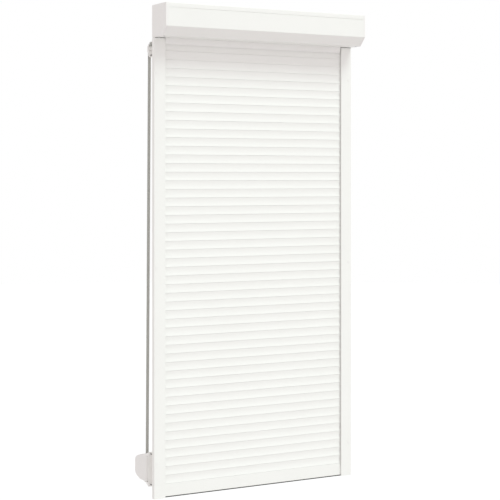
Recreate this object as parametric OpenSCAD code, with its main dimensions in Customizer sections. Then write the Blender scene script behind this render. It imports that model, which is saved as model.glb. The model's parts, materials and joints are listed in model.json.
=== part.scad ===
// Front-mounted roller shutter: box, guide rails, slat curtain, roller with strap drive and strap winder.
// X runs along the width, Y from the street into the room, Z up. The rails' back plane is Y = 0.

/* [Overall] */
// Overall width over the rails and the box
width = 1000; // [700:1:1600]
// Height from the sill to the underside of the box
clear_height = 1963; // [1200:1:2200]
// Height and depth of the box
box_size = 137; // [137:1:180]
// Thickness of the window frame between the rails and the strap parts
frame_depth = 54; // [45:1:90]

/* [Box] */
// Sheet thickness of the shell and the cover
box_wall = 1.2; // [0.8:0.1:2]
// Size of the 45 degree edge, measured along the front
box_chamfer = 38; // [25:1:50]
// Bend radius of the sheet
bend_radius = 3; // [2.5:0.5:6]
// Height of the lip of the shell above the cover
lip_height = 19; // [12:1:30]
// Visible seam between the lip and the cover
cover_seam = 1.4; // [0.8:0.1:3]
// Length of the tongue that the cover leans on
tongue_length = 11; // [6:1:20]
// Distance from the wall plane to the front of the curtain slot
slot_depth = 22; // [20:0.5:28]
// Height of the hem beside the curtain slot
hem_height = 9; // [5:1:14]

/* [End caps] */
// Thickness of an end cap's plate
cap_plate = 4; // [3.5:0.5:6]
// Width of the rim that shows beside the sheet
cap_rim = 9; // [7:0.5:12]
// Wall of the rim and of the spigot
cap_wall = 2.5; // [2:0.5:4]
// Length of the spigot inside the sheet
spigot_length = 15; // [12:1:16]
// Length of the peg that enters a rail
peg_length = 32; // [20:1:60]

/* [Guide rails] */
// Width of a rail
rail_width = 53; // [50:1:70]
// Depth of a rail
rail_depth = 22; // [21:0.5:26]
// Wall of a rail
rail_wall = 1.5; // [1.2:0.1:2.2]
// Depth of the channel, from its mouth
channel_depth = 28; // [26:0.5:32]
// Clear width of the channel
channel_width = 13; // [12:0.5:14]
// Distance from the wall plane to the middle of the curtain
curtain_offset = 9; // [8.5:0.5:10]
// Gap between a rail and the box
rail_gap = 2; // [0.5:0.1:3]
// Height of the inlet guides above the box's underside
inlet_height = 24; // [18:1:26]
// Radius of a fixing hole in the back of a rail
fixing_hole_radius = 2.6; // [2:0.1:3.5]
// Radius of an access hole in the front of a rail
access_hole_radius = 5.5; // [4.5:0.1:7]
// Distance from a rail's end to its outer fixing holes
fixing_inset = 150; // [80:1:300]
// Width of a brush strip's foot
brush_foot = 4.4; // [3:0.1:6]
// Thickness of a brush strip's pile
brush_pile = 2.4; // [1:0.1:3]

/* [Curtain] */
// Covering height of one slat
slat_pitch = 37; // [34:0.5:42]
// Thickness of a slat over its ridges
slat_thickness = 8.5; // [8:0.1:9.5]
// Depth of the hollow of the slat's face
slat_sagitta = 2.3; // [0.8:0.1:2.4]
// Wall of a slat round its hollow chamber
slat_wall = 1; // [0.8:0.1:1.4]
// Radius of the bulb on a slat's upper edge
bulb_radius = 1.8; // [1.5:0.1:2]
// Width of the neck below the bulb
neck_width = 1.4; // [1:0.1:1.8]
// Height of the bulb's centre above the seam
bulb_height = 5.5; // [5:0.1:7]
// Play between a hook and its pocket
hook_play = 0.5; // [0.3:0.05:0.6]
// Gap between two slats' faces
seam_gap = 0.6; // [0.4:0.1:1]
// Distance from a slat's end to the pulley's side
slat_end_play = 1.5; // [1:0.1:4]
// Least height of curtain that stays in the box
curtain_entry = 30; // [20:1:40]
// Height of the bottom bar
bar_height = 53.5; // [40:0.5:70]
// Thickness of the bottom bar
bar_thickness = 9; // [8.6:0.1:10]
// Wall of the bottom bar
bar_wall = 1.5; // [1.2:0.1:2]
// Height of the seal below the bottom bar
seal_height = 5; // [4:0.5:9]
// Height of the lifted curtain above the rails
lift_clearance = 8; // [6:1:12]

/* [Roller] */
// Width of the octagonal tube over its flats
tube_flats = 40; // [36:1:44]
// Wall of the tube
tube_wall = 1; // [0.8:0.1:2]
// Radius of the pulley's flanges
flange_radius = 57; // [50:0.5:58]
// Thickness of the pulley's flanges
flange_thickness = 1.5; // [1:0.1:2.5]
// Radius of the pulley's core
core_radius = 24; // [22:0.5:27]
// Radius of the pins that turn in the bearings
pin_radius = 6; // [5:0.5:7]
// Outer radius of a bearing
bearing_radius = 14; // [13:0.5:16]
// Width of a bearing
bearing_width = 8; // [6:0.5:9]
// Length of the plugs inside the tube
plug_length = 40; // [25:1:70]
// Thickness of a bearing bracket's plate
bracket_plate = 3; // [2:0.5:4]
// Side of a bearing bracket's plate
bracket_side = 72; // [64:1:90]
// Width of a suspension spring
spring_width = 30; // [15:1:50]
// Thickness of a suspension spring
spring_thickness = 0.6; // [0.4:0.1:1]
// Number of suspension springs
spring_count = 3; // [2:1:5]

/* [Strap] */
// Width of the strap
strap_width = 14; // [12:0.5:15]
// Thickness of the strap
strap_thickness = 1.3; // [0.9:0.1:1.5]
// Air between two turns of the strap
turn_gap = 0.5; // [0.45:0.05:0.6]
// Turns on the pulley with the curtain down
pulley_turns = 7.5; // [5.5:1:7.5]
// Turns in the winder with the curtain down
coil_turns = 2.25; // [1.25:1:5.25]
// Distance of the strap's middle from the side of the shutter
strap_inset = 20; // [19.5:0.5:21]
// Height of the strap's outlet above the box's underside
outlet_height = 7; // [6.5:0.5:20]
// Radius of the strap's bend at the outlet
lip_radius = 25; // [15:1:30]
// Distance of the strap from the window frame at the strap guide
strap_reach = 13.5; // [13:0.5:18]
// Distance of the tube's end from the strap guide's plate
tube_setback = 28; // [2:0.5:30]
// Drop from the box's underside to the strap's bend in the guide
guide_drop = 37; // [28:1:60]
// Radius of the guide roller
guide_roller_radius = 8; // [7:0.5:9]
// Height of the strap guide
guide_height = 67; // [60:1:90]
// Width of the strap guide and of the winder's bracket
fitting_width = 24; // [22.5:0.5:28]
// Width of the strap guide's ear for its upper screw
guide_ear = 13; // [11:0.5:18]
// Height of the strap guide's hood
hood_height = 36; // [34:0.5:40]
// Rounding of the hood's edges
hood_round = 3; // [2:0.5:3.5]
// Wall of the strap guide and thickness of its plate
guide_wall = 1.5; // [1:0.1:2]

/* [Winder] */
// Distance of the swivel axis from the window frame
pivot_reach = 36.5; // [30:0.5:50]
// Width of the winder's housing
winder_width = 22; // [21.5:0.5:26]
// Length of the housing behind the swivel axis
winder_reach = 104; // [100:1:120]
// Length of the housing in front of the swivel axis
winder_nose = 14; // [13:0.5:16]
// Height of the housing
winder_height = 114; // [112:1:150]
// Height of the housing's lower edge above the sill
winder_rise = 56; // [30:1:300]
// Distance behind the swivel axis at which the housing's top starts to fall
winder_brow = 30; // [26:1:40]
// Fall of the housing's top from there to its back
winder_fall = 24; // [20:0.5:30]
// Distance behind the swivel axis at which the housing's underside starts to climb
winder_shoulder = 47; // [42:1:60]
// Climb of the housing's underside from there to its back
winder_climb = 17.5; // [14:0.5:24]
// Rounding of the housing's upright edges at its nose
nose_round = 8; // [4:0.5:9]
// Rounding of the housing's upright edges at its back
back_round = 3; // [2:0.5:4]
// Wall of the housing
winder_wall = 1.6; // [1.2:0.1:1.8]
// Thickness of the winder's bracket
bracket_sheet = 2.5; // [2:0.1:3]
// Height of the bracket beyond the housing at each end
bracket_over = 17; // [14:0.5:24]
// Distance of the bracket's screws from its lugs
bracket_screw_gap = 6; // [5:0.5:8]
// Thickness of the bracket's cheeks
cheek = 2; // [1.5:0.1:2.5]
// Radius of the neck that the strap enters by
neck_radius = 9; // [8.5:0.1:9.5]
// Radius of the pin at the foot of the housing
foot_pin_radius = 3; // [2:0.1:4]
// Radius of the spool's sides
spool_radius = 42; // [38:0.5:42.5]
// Radius of the spool's drum
drum_radius = 30; // [26:0.5:32]
// Radius of the spool's axle
axle_radius = 4; // [3:0.1:5]
// Thickness of the mainspring
mainspring_thickness = 0.5; // [0.3:0.1:0.8]
// Turns of the mainspring
mainspring_turns = 8; // [5:1:10]
// Distance of the clamp's pin below the top of the housing
clamp_drop = 19; // [16:0.5:24]
// Reach of the clamp's teeth from its pin
clamp_reach = 6.8; // [6.4:0.1:8]
// Radius of the clamp's pin
clamp_pin_radius = 2; // [1.5:0.1:2.5]
// Radius of a screw hole in the strap guide and the winder's bracket
screw_hole_radius = 2.2; // [1.8:0.1:2.8]

/* [Fits] */
// Gap between pieces that are fitted together
fit = 0.15; // [0.1:0.01:0.2]
// Radial play of a pin that turns
play = 0.06; // [0.03:0.01:0.1]
// Gap between pieces that pass each other
clear = 0.4; // [0.3:0.05:0.5]

/* [Hidden] */
$fn = 48;
zt = clear_height / 2;
zb = -zt;
side = width / 2;
rail_end = zt - rail_gap;

// box and caps
box_points = [[0, 0], [0, box_size], [-box_size, box_size], [-box_size, box_chamfer], [box_chamfer - box_size, 0]];
shaft_y = -box_size / 2;
shaft_z = zt + box_size / 2;
sheet_end = side - cap_rim - fit;
bracket_x = side - cap_plate;
boss_x = bracket_x - bracket_plate - fit;
bracket_screw_reach = bracket_side / 2 - 9;
cover_screw_x = side - cap_rim - spigot_length / 2;
cover_screw_ys = [box_chamfer - box_size + 13, -slot_depth - 13];
cover_boss_height = 8.5;

// strap plane, pulley and roller, seen from the left end
strap_x = side - strap_inset;
groove_half = strap_width / 2 + clear;
pulley_out = strap_x + groove_half + flange_thickness;
pulley_in = strap_x - groove_half - flange_thickness;
bearing_out = boss_x - 1;
bearing_in = bearing_out - bearing_width;
boss_end = bearing_in - 0.5;
hub_floor = boss_end - 1.5;
race_radius = (pin_radius + bearing_radius) / 2 - 1;
tube_left = pulley_in - clear;
plug_disc = boss_end - 4;
tube_right = plug_disc - 5 - clear;
turn_pitch = strap_thickness + turn_gap;
winding_start = core_radius + clear + strap_thickness / 2;
winding_end = winding_start + turn_pitch * pulley_turns;

// curtain
curtain_y = -curtain_offset;
slat_half = pulley_in - slat_end_play;
bar_top = zb + seal_height + bar_height;
slat_count = ceil((zt + curtain_entry - bar_top) / slat_pitch);
curtain_top = bar_top + slat_count * slat_pitch;
hook_top = bulb_height + bulb_radius;
bundle_size = floor((box_size - box_wall - lift_clearance - hook_top - 2) / slat_pitch);
bundle_count = ceil(slat_count / bundle_size);
pocket_radius = bulb_radius + hook_play;
brush_tip = bar_thickness / 2 + 0.3;
rail_mouth = side - rail_width;
channel_end = rail_mouth + channel_depth;
chamber_end = channel_end + rail_wall;
groove_depth = 1.3;

// route of the strap through the box, the frame, the guide and down to the winder
pivot_y = frame_depth + pivot_reach;
winder_bottom = zb + winder_rise;
winder_top = winder_bottom + winder_height;
neck_top = winder_top + bracket_sheet + 2;
strap_lip = [-3, zt + outlet_height];
winding_touch = touch_point(strap_lip, [shaft_y, shaft_z], winding_end, 1);
winding_angle = atan2(winding_touch[1] - shaft_z, winding_touch[0] - shaft_y);
strap_start = winding_touch + swept(winding_end) * unit(strap_lip - winding_touch);
strap_bend = [frame_depth + strap_reach, zt - guide_drop];
strap_foot = [pivot_y, neck_top + clear];
bend_radius_strap = guide_roller_radius + clear + strap_thickness / 2;
guide_centre = corner_centre(strap_lip, strap_bend, strap_foot, bend_radius_strap);
strap_slope = (strap_bend[1] - strap_lip[1]) / (strap_bend[0] - strap_lip[0]);
tube_half = 3.5;
tube_side = strap_width / 2 + 1.4;

// strap guide
roller_flange = 0.9;
pin_cover = 0.5;
hood_half = groove_half + roller_flange + clear + guide_wall;
hood_front = strap_bend[0] + strap_thickness / 2 + 1.2 + guide_wall;
hood_room = strap_thickness * 0.6 + 2.1;
hood_roof = hood_room + guide_wall * 1.2;
hood_top = strap_height(frame_depth) + hood_roof;
hood_bottom = hood_top - hood_height;
guide_window = guide_centre[1] - guide_roller_radius - 2 - clear;
guide_high = hood_top + 4.4 + guide_ear / 2;
guide_low = guide_high - guide_height;
guide_screw_zs = [guide_low + 9.5, guide_high - guide_ear / 2];

// winder
winder_half = winder_width / 2;
cavity_half = winder_half - winder_wall;
winder_points = [
    [pivot_y - winder_nose, winder_bottom],
    [pivot_y + winder_shoulder, winder_bottom],
    [pivot_y + winder_reach, winder_bottom + winder_climb],
    [pivot_y + winder_reach, winder_top - winder_fall],
    [pivot_y + winder_brow, winder_top],
    [pivot_y - winder_nose, winder_top]];
winder_radii = [4, 60, 34, 34, 80, 4];
lug_top = winder_top + clear + bracket_sheet;
lug_bottom = winder_bottom - clear - bracket_sheet;
bracket_screw_zs = [lug_bottom - bracket_screw_gap, lug_top + bracket_screw_gap];
spool_y = pivot_y + winder_reach - winder_wall - spool_radius - 2 * clear;
spool_z = (winder_top - winder_fall + winder_bottom + winder_climb) / 2 + 2;
spool_half = groove_half + 1.2;
coil_start = drum_radius + clear + strap_thickness / 2;
coil_end = coil_start + turn_pitch * coil_turns;
strap_neck = [pivot_y, neck_top - clear];
coil_touch = touch_point(strap_neck, [spool_y, spool_z], coil_end, -1);
coil_angle = atan2(coil_touch[1] - spool_z, coil_touch[0] - spool_y);
lead_slope = (coil_touch[0] - strap_neck[0]) / (coil_touch[1] - strap_neck[1]);
lead_end = coil_touch - swept(coil_end) * unit(coil_touch - strap_neck);
neck_slot = lead_slope * (winder_top - winder_wall - strap_neck[1]) + strap_thickness * 0.6 + clear;
clamp_z = winder_top - clamp_drop;
lead_y = strap_neck[0] + lead_slope * (clamp_z - strap_neck[1]);
clamp_y = lead_y + norm([1, lead_slope]) * (strap_thickness / 2 + clear + clamp_reach);
winder_screw_places = [
    [pivot_y - winder_nose + 7.5, winder_bottom + 10],
    [pivot_y - winder_nose + 7.5, winder_top - 11],
    [pivot_y + winder_shoulder - 12, winder_top - 11],
    [pivot_y + winder_shoulder - 12, winder_bottom + 10]];

// least air between the turns of each wound piece
function least_gap(p, n, t) = min([for (i = [0:len(p) - 1 - n]) norm(p[i + n] - p[i]) - t]);
winding_line = spiral([shaft_y, shaft_z], winding_start, winding_end, winding_angle - 360 * pulley_turns,
                      pulley_turns, 24);
coil_line = spiral([spool_y, spool_z], coil_end, coil_start, coil_angle, coil_turns, 24);
mainspring_line = spiral([spool_y, spool_z], axle_radius + mainspring_thickness,
                         drum_radius - 3.5 - mainspring_thickness, 0, mainspring_turns, 24);
echo(winding_gap = least_gap(winding_line, 24, strap_thickness));
echo(coil_gap = least_gap(coil_line, 24, strap_thickness));
echo(mainspring_gap = least_gap(mainspring_line, 24, mainspring_thickness));

function bundle_name(j) = str("slats_", j < 9 ? "0" : "", j + 1);

// plane geometry
function unit(v) = v / norm(v);
function side_of(a, b) = let(d = unit(b - a)) [-d[1], d[0]];

// open line moved to its left by t
function shifted(p, t) = [for (i = [0:len(p) - 1])
    let(n0 = i == 0 ? side_of(p[0], p[1]) : side_of(p[i - 1], p[i]),
        n1 = i == len(p) - 1 ? n0 : side_of(p[i], p[i + 1]),
        m = n0 + n1)
    p[i] + m * (2 * t / (m * m))];

// closed outline drawn in by t
function inset(p, t) = [for (i = [0:len(p) - 1])
    let(k = len(p),
        n0 = side_of(p[(i + k - 1) % k], p[i]),
        n1 = side_of(p[i], p[(i + 1) % k]),
        m = n0 + n1)
    p[i] + m * (2 * t / (m * m))];

// centre of a circle of radius r that touches both legs of the corner a, b, c
function corner_centre(a, b, c, r) =
    let(u = unit(a - b), v = unit(c - b), half = acos(u * v) / 2)
    b + unit(u + v) * r / sin(half);

// points of one corner, rounded with n steps
function corner(a, b, c, r, n) =
    let(o = corner_centre(a, b, c, r), u = unit(a - b), v = unit(c - b),
        t = r / tan(acos(u * v) / 2),
        s = b + u * t - o, e = b + v * t - o,
        a0 = atan2(s[1], s[0]), turn = atan2(e[1], e[0]) - a0,
        sweep = turn > 180 ? turn - 360 : turn < -180 ? turn + 360 : turn)
    [for (k = [0:n]) o + r * [cos(a0 + sweep * k / n), sin(a0 + sweep * k / n)]];

// closed outline with rounded corners
function rounded(p, radii, n) = [for (i = [0:len(p) - 1])
    let(k = len(p), r = is_list(radii) ? radii[i] : radii)
    each corner(p[(i + k - 1) % k], p[i], p[(i + 1) % k], r, n)];

// open line with rounded corners
function eased(p, radii, n) = [for (i = [0:len(p) - 1])
    let(r = is_list(radii) ? radii[i] : radii)
    each (i == 0 || i == len(p) - 1 || r == 0 ? [p[i]] : corner(p[i - 1], p[i], p[i + 1], r, n))];

// point where a line from p touches the circle at o, on its left (turn 1) or its right (turn -1)
function touch_point(p, o, r, turn) =
    let(d = o - p, l = norm(d), a = atan2(d[1], d[0]) + turn * asin(r / l), q = sqrt(l * l - r * r))
    p + q * [cos(a), sin(a)];

// height of the strap's straight run from the box to the guide
function strap_height(y) = strap_bend[1] + strap_slope * (y - strap_bend[0]);

// length of strap, from its touch point, that the end of a turning winding of radius r passes
function swept(r) = sqrt((2 * r + clear) * (strap_thickness + clear));

// spiral round o, from radius r0 at angle a0 to radius r1
function spiral(o, r0, r1, a0, turns, n) = [for (i = [0:n * turns])
    let(f = i / (n * turns), r = r0 + (r1 - r0) * f, a = a0 + 360 * turns * f)
    o + r * [cos(a), sin(a)]];

// band of thickness t along a line
module band(p, t) {
    left = shifted(p, t / 2);
    right = shifted(p, -t / 2);
    polygon(concat(right, [for (i = [len(p) - 1:-1:0]) left[i]]));
}

// sheet of thickness t on the left of a line
module sheet(p, t) {
    inner = shifted(p, t);
    polygon(concat(p, [for (i = [len(p) - 1:-1:0]) inner[i]]));
}

// outline in Y and Z, drawn along X
module along_x(x0, x1) {
    translate([x0, 0, 0])
        rotate([90, 0, 90])
            linear_extrude(x1 - x0)
                children();
}

// outline in X and Z, drawn along Y
module along_y(y0, y1) {
    translate([0, y1, 0])
        rotate([90, 0, 0])
            linear_extrude(y1 - y0)
                children();
}

// upright block with a rounded plan between two heights, its faces drawn in by gap
module upright(low, high, plan, gap) {
    translate([0, 0, low])
        linear_extrude(high - low)
            polygon(inset(plan, gap));
}

module rod_x(x0, x1, y, z, r) {
    translate([x0, y, z])
        rotate([0, 90, 0])
            cylinder(h = x1 - x0, r = r);
}

module rod_y(x, y0, y1, z, r) {
    translate([x, y0, z])
        rotate([-90, 0, 0])
            cylinder(h = y1 - y0, r = r);
}

module block(low, high) {
    translate(low)
        cube(high - low);
}

module both_sides() {
    children();
    mirror([1, 0, 0])
        children();
}

// box

module box_shell() {
    lip = box_size - lip_height;
    step = box_wall + clear;
    line = [[0, 0], [0, box_size], [-box_size, box_size], [-box_size, lip],
            [step - box_size, lip], [step - box_size, lip - tongue_length]];
    color("white")
    difference() {
        translate([0, 0, zt])
            along_x(-sheet_end, sheet_end)
                sheet(eased(line, [0, bend_radius, bend_radius, 0, 0, 0], 4), box_wall);
        strap_outlet();
    }
}

module inspection_cover() {
    line = [[-box_size, box_size - lip_height - cover_seam], [-box_size, box_chamfer],
            [box_chamfer - box_size, 0], [-slot_depth, 0], [-slot_depth, hem_height]];
    color("white")
    difference() {
        translate([0, 0, zt])
            along_x(-sheet_end, sheet_end)
                sheet(eased(line, [0, bend_radius, bend_radius, bend_radius, 0], 4), box_wall);
        both_sides()
            for (y = cover_screw_ys)
                translate([cover_screw_x, y, zt - 1])
                    cylinder(h = box_wall + 2, r = 2);
    }
}

// opening in the back of the box for the strap's tube
module strap_outlet() {
    along_x(-strap_x - tube_side - fit, -strap_x + tube_side + fit)
        tube_outline(tube_half + fit);
}

// outline of the tube's path through the frame, with the given half height
module tube_outline(half) {
    reach = strap_bend - strap_lip;
    slope = reach[1] / reach[0];
    y0 = -box_wall - cap_wall - 2;
    y1 = frame_depth - tube_setback;
    z0 = strap_lip[1] + slope * (y0 - strap_lip[0]);
    z1 = strap_lip[1] + slope * (y1 - strap_lip[0]);
    polygon([[y0, z0 - half], [y1, z1 - half], [y1, z1 + half], [y0, z0 + half]]);
}

module cap_ring(out, wall) {
    outline = rounded(box_points, bend_radius, 4);
    difference() {
        polygon(inset(outline, out));
        polygon(rounded(inset(box_points, out + wall), bend_radius, 4));
    }
}

// end cap on the +X side
module end_cap() {
    gap = box_wall + fit;
    spigot_end = side - cap_rim - spigot_length;
    lip = zt + box_size - lip_height;
    color("white")
    difference() {
        union() {
            translate([0, 0, zt]) {
                along_x(side - cap_plate, side)
                    polygon(rounded(box_points, bend_radius, 4));
                along_x(side - cap_rim, side)
                    cap_ring(0, cap_wall);
                along_x(spigot_end, side - cap_plate)
                    cap_ring(gap, cap_wall);
            }
            for (y = cover_screw_ys)
                translate([cover_screw_x, y, zt + gap])
                    cylinder(h = cover_boss_height - gap, r = 4);
            block([chamber_end + 2 * fit, rail_wall + 2 * fit - rail_depth, zt - peg_length],
                  [side - rail_wall - 2 * fit, -rail_wall - 2 * fit, zt + cap_wall]);
        }
        for (y = cover_screw_ys)
            translate([cover_screw_x, y, zt - 1])
                cylinder(h = cover_boss_height, r = 1.6);
        bracket_screw_axes()
            rod_x(side - cap_plate - 1, side - 1, 0, 0, 1.6);
        // notches for the shell's tongue and the cover's hem
        block([spigot_end - 1, -box_size, lip - tongue_length - clear],
              [side - cap_rim, gap + cap_wall + 1 - box_size, lip + box_wall + clear]);
        block([spigot_end - 1, -slot_depth - bend_radius - clear, zt],
              [side - cap_rim, clear - slot_depth, zt + gap + cap_wall + 1]);
    }
}

module bracket_screw_axes() {
    for (y = [-1, 1], z = [-1, 1])
        translate([0, shaft_y + y * bracket_screw_reach, shaft_z + z * bracket_screw_reach])
            children();
}

module left_end_cap() {
    difference() {
        mirror([1, 0, 0])
            end_cap();
        strap_outlet();
    }
}

module right_end_cap() {
    end_cap();
}

module cover_screws() {
    color("silver")
    both_sides()
        for (y = cover_screw_ys)
            translate([cover_screw_x, y, zt]) {
                translate([0, 0, -2.2 - fit])
                    cylinder(h = 2.2, r = 3.8);
                translate([0, 0, -fit - 0.1])
                    cylinder(h = 7, r = 1.5);
            }
}

// guide rails

// rail section on the +X side
module rail_section() {
    lip = rail_depth - curtain_offset - channel_width / 2;
    front = channel_width / 2 + curtain_offset;
    back = curtain_offset - channel_width / 2;
    groove_in = rail_mouth + 2;
    difference() {
        polygon(rounded([[rail_mouth, -rail_depth], [side, -rail_depth], [side, 0], [rail_mouth, 0]], 0.8, 2));
        translate([chamber_end, rail_wall - rail_depth])
            square([side - rail_wall - chamber_end, rail_depth - 2 * rail_wall]);
        translate([rail_mouth - 1, -front])
            square([channel_depth + 1, channel_width]);
        translate([groove_in + brush_foot + 2 * fit + rail_wall, rail_wall - rail_depth])
            square([channel_depth - 2 - brush_foot - 2 * fit - rail_wall, lip - 2 * rail_wall]);
        translate([groove_in, -front - groove_depth])
            square([brush_foot + 2 * fit, channel_width + 2 * groove_depth]);
    }
}

// guide rail on the +X side
module guide_rail() {
    color("white")
    difference() {
        translate([0, 0, zb])
            linear_extrude(rail_end - zb)
                rail_section();
        fixing_places() {
            rod_y(0, -rail_wall - 1, 1, 0, fixing_hole_radius);
            rod_y(0, -rail_depth - 1, rail_wall + 1 - rail_depth, 0, access_hole_radius);
        }
    }
}

module fixing_places() {
    for (z = [zb + fixing_inset, 0, zt - fixing_inset])
        translate([(side - rail_wall + chamber_end) / 2, 0, z])
            children();
}

module left_guide_rail() {
    mirror([1, 0, 0])
        guide_rail();
}

module right_guide_rail() {
    guide_rail();
}

module rail_brushes() {
    half = channel_width / 2;
    color("dimgray")
    both_sides()
        translate([rail_mouth + 2 + fit, curtain_y, zb + fit])
            linear_extrude(rail_end - zb - 2 * fit)
                for (s = [-1, 1])
                    polygon([[0, s * (half + groove_depth - fit)], [brush_foot, s * (half + groove_depth - fit)],
                             [brush_foot, s * (half + fit)], [brush_foot / 2 + brush_pile / 2, s * (half + fit)],
                             [brush_foot / 2 + brush_pile / 2, s * brush_tip],
                             [brush_foot / 2 - brush_pile / 2, s * brush_tip],
                             [brush_foot / 2 - brush_pile / 2, s * (half + fit)], [0, s * (half + fit)]]);
}

module inlet_guides() {
    low = rail_end + fit;
    high = zt + inlet_height;
    front = curtain_offset + channel_width / 2;
    back = curtain_offset - channel_width / 2;
    color("dimgray")
    both_sides()
        difference() {
            block([rail_mouth, -front - 5, low], [slat_half + 1.6, fit - back + 0.9, high]);
            along_x(rail_mouth - 1, slat_half + 0.8)
                polygon([[-front, low - 1], [-back, low - 1], [-back, high + 1], [-front - 3.6, high + 1],
                         [-front, low + 9]]);
        }
}

module rail_fixing_caps() {
    color("white")
    both_sides()
        fixing_places() {
            rod_y(0, -rail_depth - fit - 0.8, -rail_depth - fit, 0, access_hole_radius + 1.2);
            difference() {
                rod_y(0, -rail_depth - fit - 0.1, -rail_depth + 5, 0, access_hole_radius - fit);
                rod_y(0, -rail_depth + 0.8, -rail_depth + 6, 0, access_hole_radius - fit - 1.2);
            }
        }
}

// roller, bearings and brackets

// bearing bracket on the +X side
module bearing_bracket() {
    half = bracket_side / 2;
    color("silver")
    difference() {
        union() {
            translate([0, shaft_y, shaft_z])
                along_x(boss_x, bracket_x - fit)
                    polygon(rounded([[-half, -half], [half, -half], [half, half], [-half, half]], 9, 6));
            rod_x(boss_end, boss_x + 1, shaft_y, shaft_z, bearing_radius + 3);
        }
        rod_x(boss_end - 1, bearing_out, shaft_y, shaft_z, bearing_radius + play / 2);
        rod_x(bearing_out - 1, bracket_x + 1, shaft_y, shaft_z, pin_radius + 2);
        bracket_screw_axes()
            rod_x(boss_x - 1, bracket_x + 1, 0, 0, 2.2);
    }
}

module left_bearing_bracket() {
    mirror([1, 0, 0])
        bearing_bracket();
}

module right_bearing_bracket() {
    bearing_bracket();
}

module bracket_screws() {
    color("silver")
    both_sides()
        bracket_screw_axes() {
            rod_x(boss_x - fit - 2.2, boss_x - fit, 0, 0, 3.6);
            rod_x(boss_x - fit - 0.1, side - 1.5, 0, 0, 1.45);
        }
}

// ring of a bearing on the +X side
module bearing_ring(outer, inner) {
    difference() {
        rod_x(bearing_in, bearing_out - fit, shaft_y, shaft_z, outer);
        rod_x(bearing_in - 1, bearing_out + 1, shaft_y, shaft_z, inner);
    }
}

module bearing_outer_rings() {
    color("lightsteelblue")
    both_sides()
        bearing_ring(bearing_radius, race_radius + play);
}

module bearing_inner_rings() {
    color("slategray")
    both_sides()
        bearing_ring(race_radius, pin_radius + play / 2);
}

// octagon over its flats, drawn along X on the roller's axis
module octagon(x0, x1, flats) {
    translate([0, shaft_y, shaft_z])
        along_x(x0, x1)
            rotate(22.5)
                circle(r = flats / 2 / cos(22.5), $fn = 8);
}

module roller_tube() {
    color("silver")
    difference() {
        octagon(-tube_left, tube_right, tube_flats);
        octagon(-tube_left - 1, tube_right + 1, tube_flats - 2 * tube_wall);
    }
}

module strap_pulley() {
    recess = bearing_radius + 4;
    color("gainsboro")
    mirror([1, 0, 0])
        difference() {
            union() {
                rod_x(pulley_in, pulley_out, shaft_y, shaft_z, core_radius);
                for (x = [pulley_in, pulley_out - flange_thickness])
                    rod_x(x, x + flange_thickness, shaft_y, shaft_z, flange_radius);
                octagon(tube_left - plug_length, pulley_in + 1, tube_flats - 2 * tube_wall - 2 * fit);
            }
            difference() {
                rod_x(hub_floor, pulley_out + 1, shaft_y, shaft_z, recess);
                rod_x(hub_floor - 1, bearing_out - fit, shaft_y, shaft_z, pin_radius);
            }
            for (a = [0:60:300])
                translate([0, shaft_y, shaft_z])
                    rotate([a + 30, 0, 0])
                        rod_x(pulley_in - 1, pulley_out + 1, (flange_radius + winding_end) / 2 + 1, 0, 6);
        }
}

module shaft_plug() {
    color("gainsboro")
    union() {
        octagon(tube_right - plug_length, plug_disc - 4, tube_flats - 2 * tube_wall - 2 * fit);
        rod_x(plug_disc - 5, plug_disc, shaft_y, shaft_z, tube_flats / 2 + 5);
        rod_x(plug_disc - 1, bearing_out - fit, shaft_y, shaft_z, pin_radius);
    }
}

module suspension_springs() {
    flat = shaft_z + tube_flats / 2 + fit + spring_thickness / 2;
    foot = curtain_top + hook_top + clear;
    line = [[shaft_y - 8, flat], [curtain_y, flat], [curtain_y, foot]];
    color("gray")
    for (i = [0:spring_count - 1]) {
        x = slat_half * ((2 * i + 1) / spring_count - 1);
        along_x(x - spring_width / 2, x + spring_width / 2)
            band(eased(line, 16, 8), spring_thickness);
    }
}

// strap

module strap_plane() {
    along_x(-strap_x - strap_width / 2, -strap_x + strap_width / 2)
        children();
}

module strap_winding() {
    color("gray")
    strap_plane()
        band(winding_line, strap_thickness);
}

module strap_run() {
    line = [strap_start, strap_lip, strap_bend, strap_foot];
    color("gray")
    strap_plane()
        band(eased(line, [0, lip_radius, bend_radius_strap, 0], 8), strap_thickness);
}

module strap_tube() {
    color("white")
    difference() {
        along_x(-strap_x - tube_side, -strap_x + tube_side)
            tube_outline(tube_half);
        along_x(-strap_x - tube_side + 1, -strap_x + tube_side - 1)
            tube_bore();
    }
}

// bore of the tube, longer than the tube at both ends
module tube_bore() {
    reach = unit(strap_bend - strap_lip);
    half = tube_half - 1.2;
    a = strap_lip - 20 * reach;
    b = strap_bend + 20 * reach;
    polygon([a - [0, half], b - [0, half], b + [0, half], a + [0, half]]);
}

// plate of the strap guide, with a round tail and an ear for its upper screw
module guide_plate() {
    half = fitting_width / 2;
    ear = guide_ear / 2;
    polygon(rounded([[-half, guide_low], [half, guide_low], [half, hood_top], [-half, hood_top]],
                    [half - 0.5, half - 0.5, 3, 3], 8));
    polygon(rounded([[-ear, hood_top - 8], [ear, hood_top - 8], [ear, guide_high], [-ear, guide_high]],
                    [1, 1, ear - 0.1, ear - 0.1], 8));
}

// hood over the guide roller, its roof along the strap
module guide_hood() {
    plan = rounded([[-hood_half, frame_depth], [hood_half, frame_depth], [hood_half, hood_front],
                    [-hood_half, hood_front]], [0.4, 0.4, hood_round, hood_round], 6);
    intersection() {
        along_x(-hood_half, hood_half)
            polygon(rounded([[frame_depth, hood_top], [frame_depth, hood_bottom - 3], [hood_front, hood_bottom + 3],
                             [hood_front, strap_height(hood_front) + hood_roof]], [0.4, 0.4, 1.5, 5], 4));
        upright(hood_bottom - 5, hood_top + 1, plan, 0);
    }
}

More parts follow.
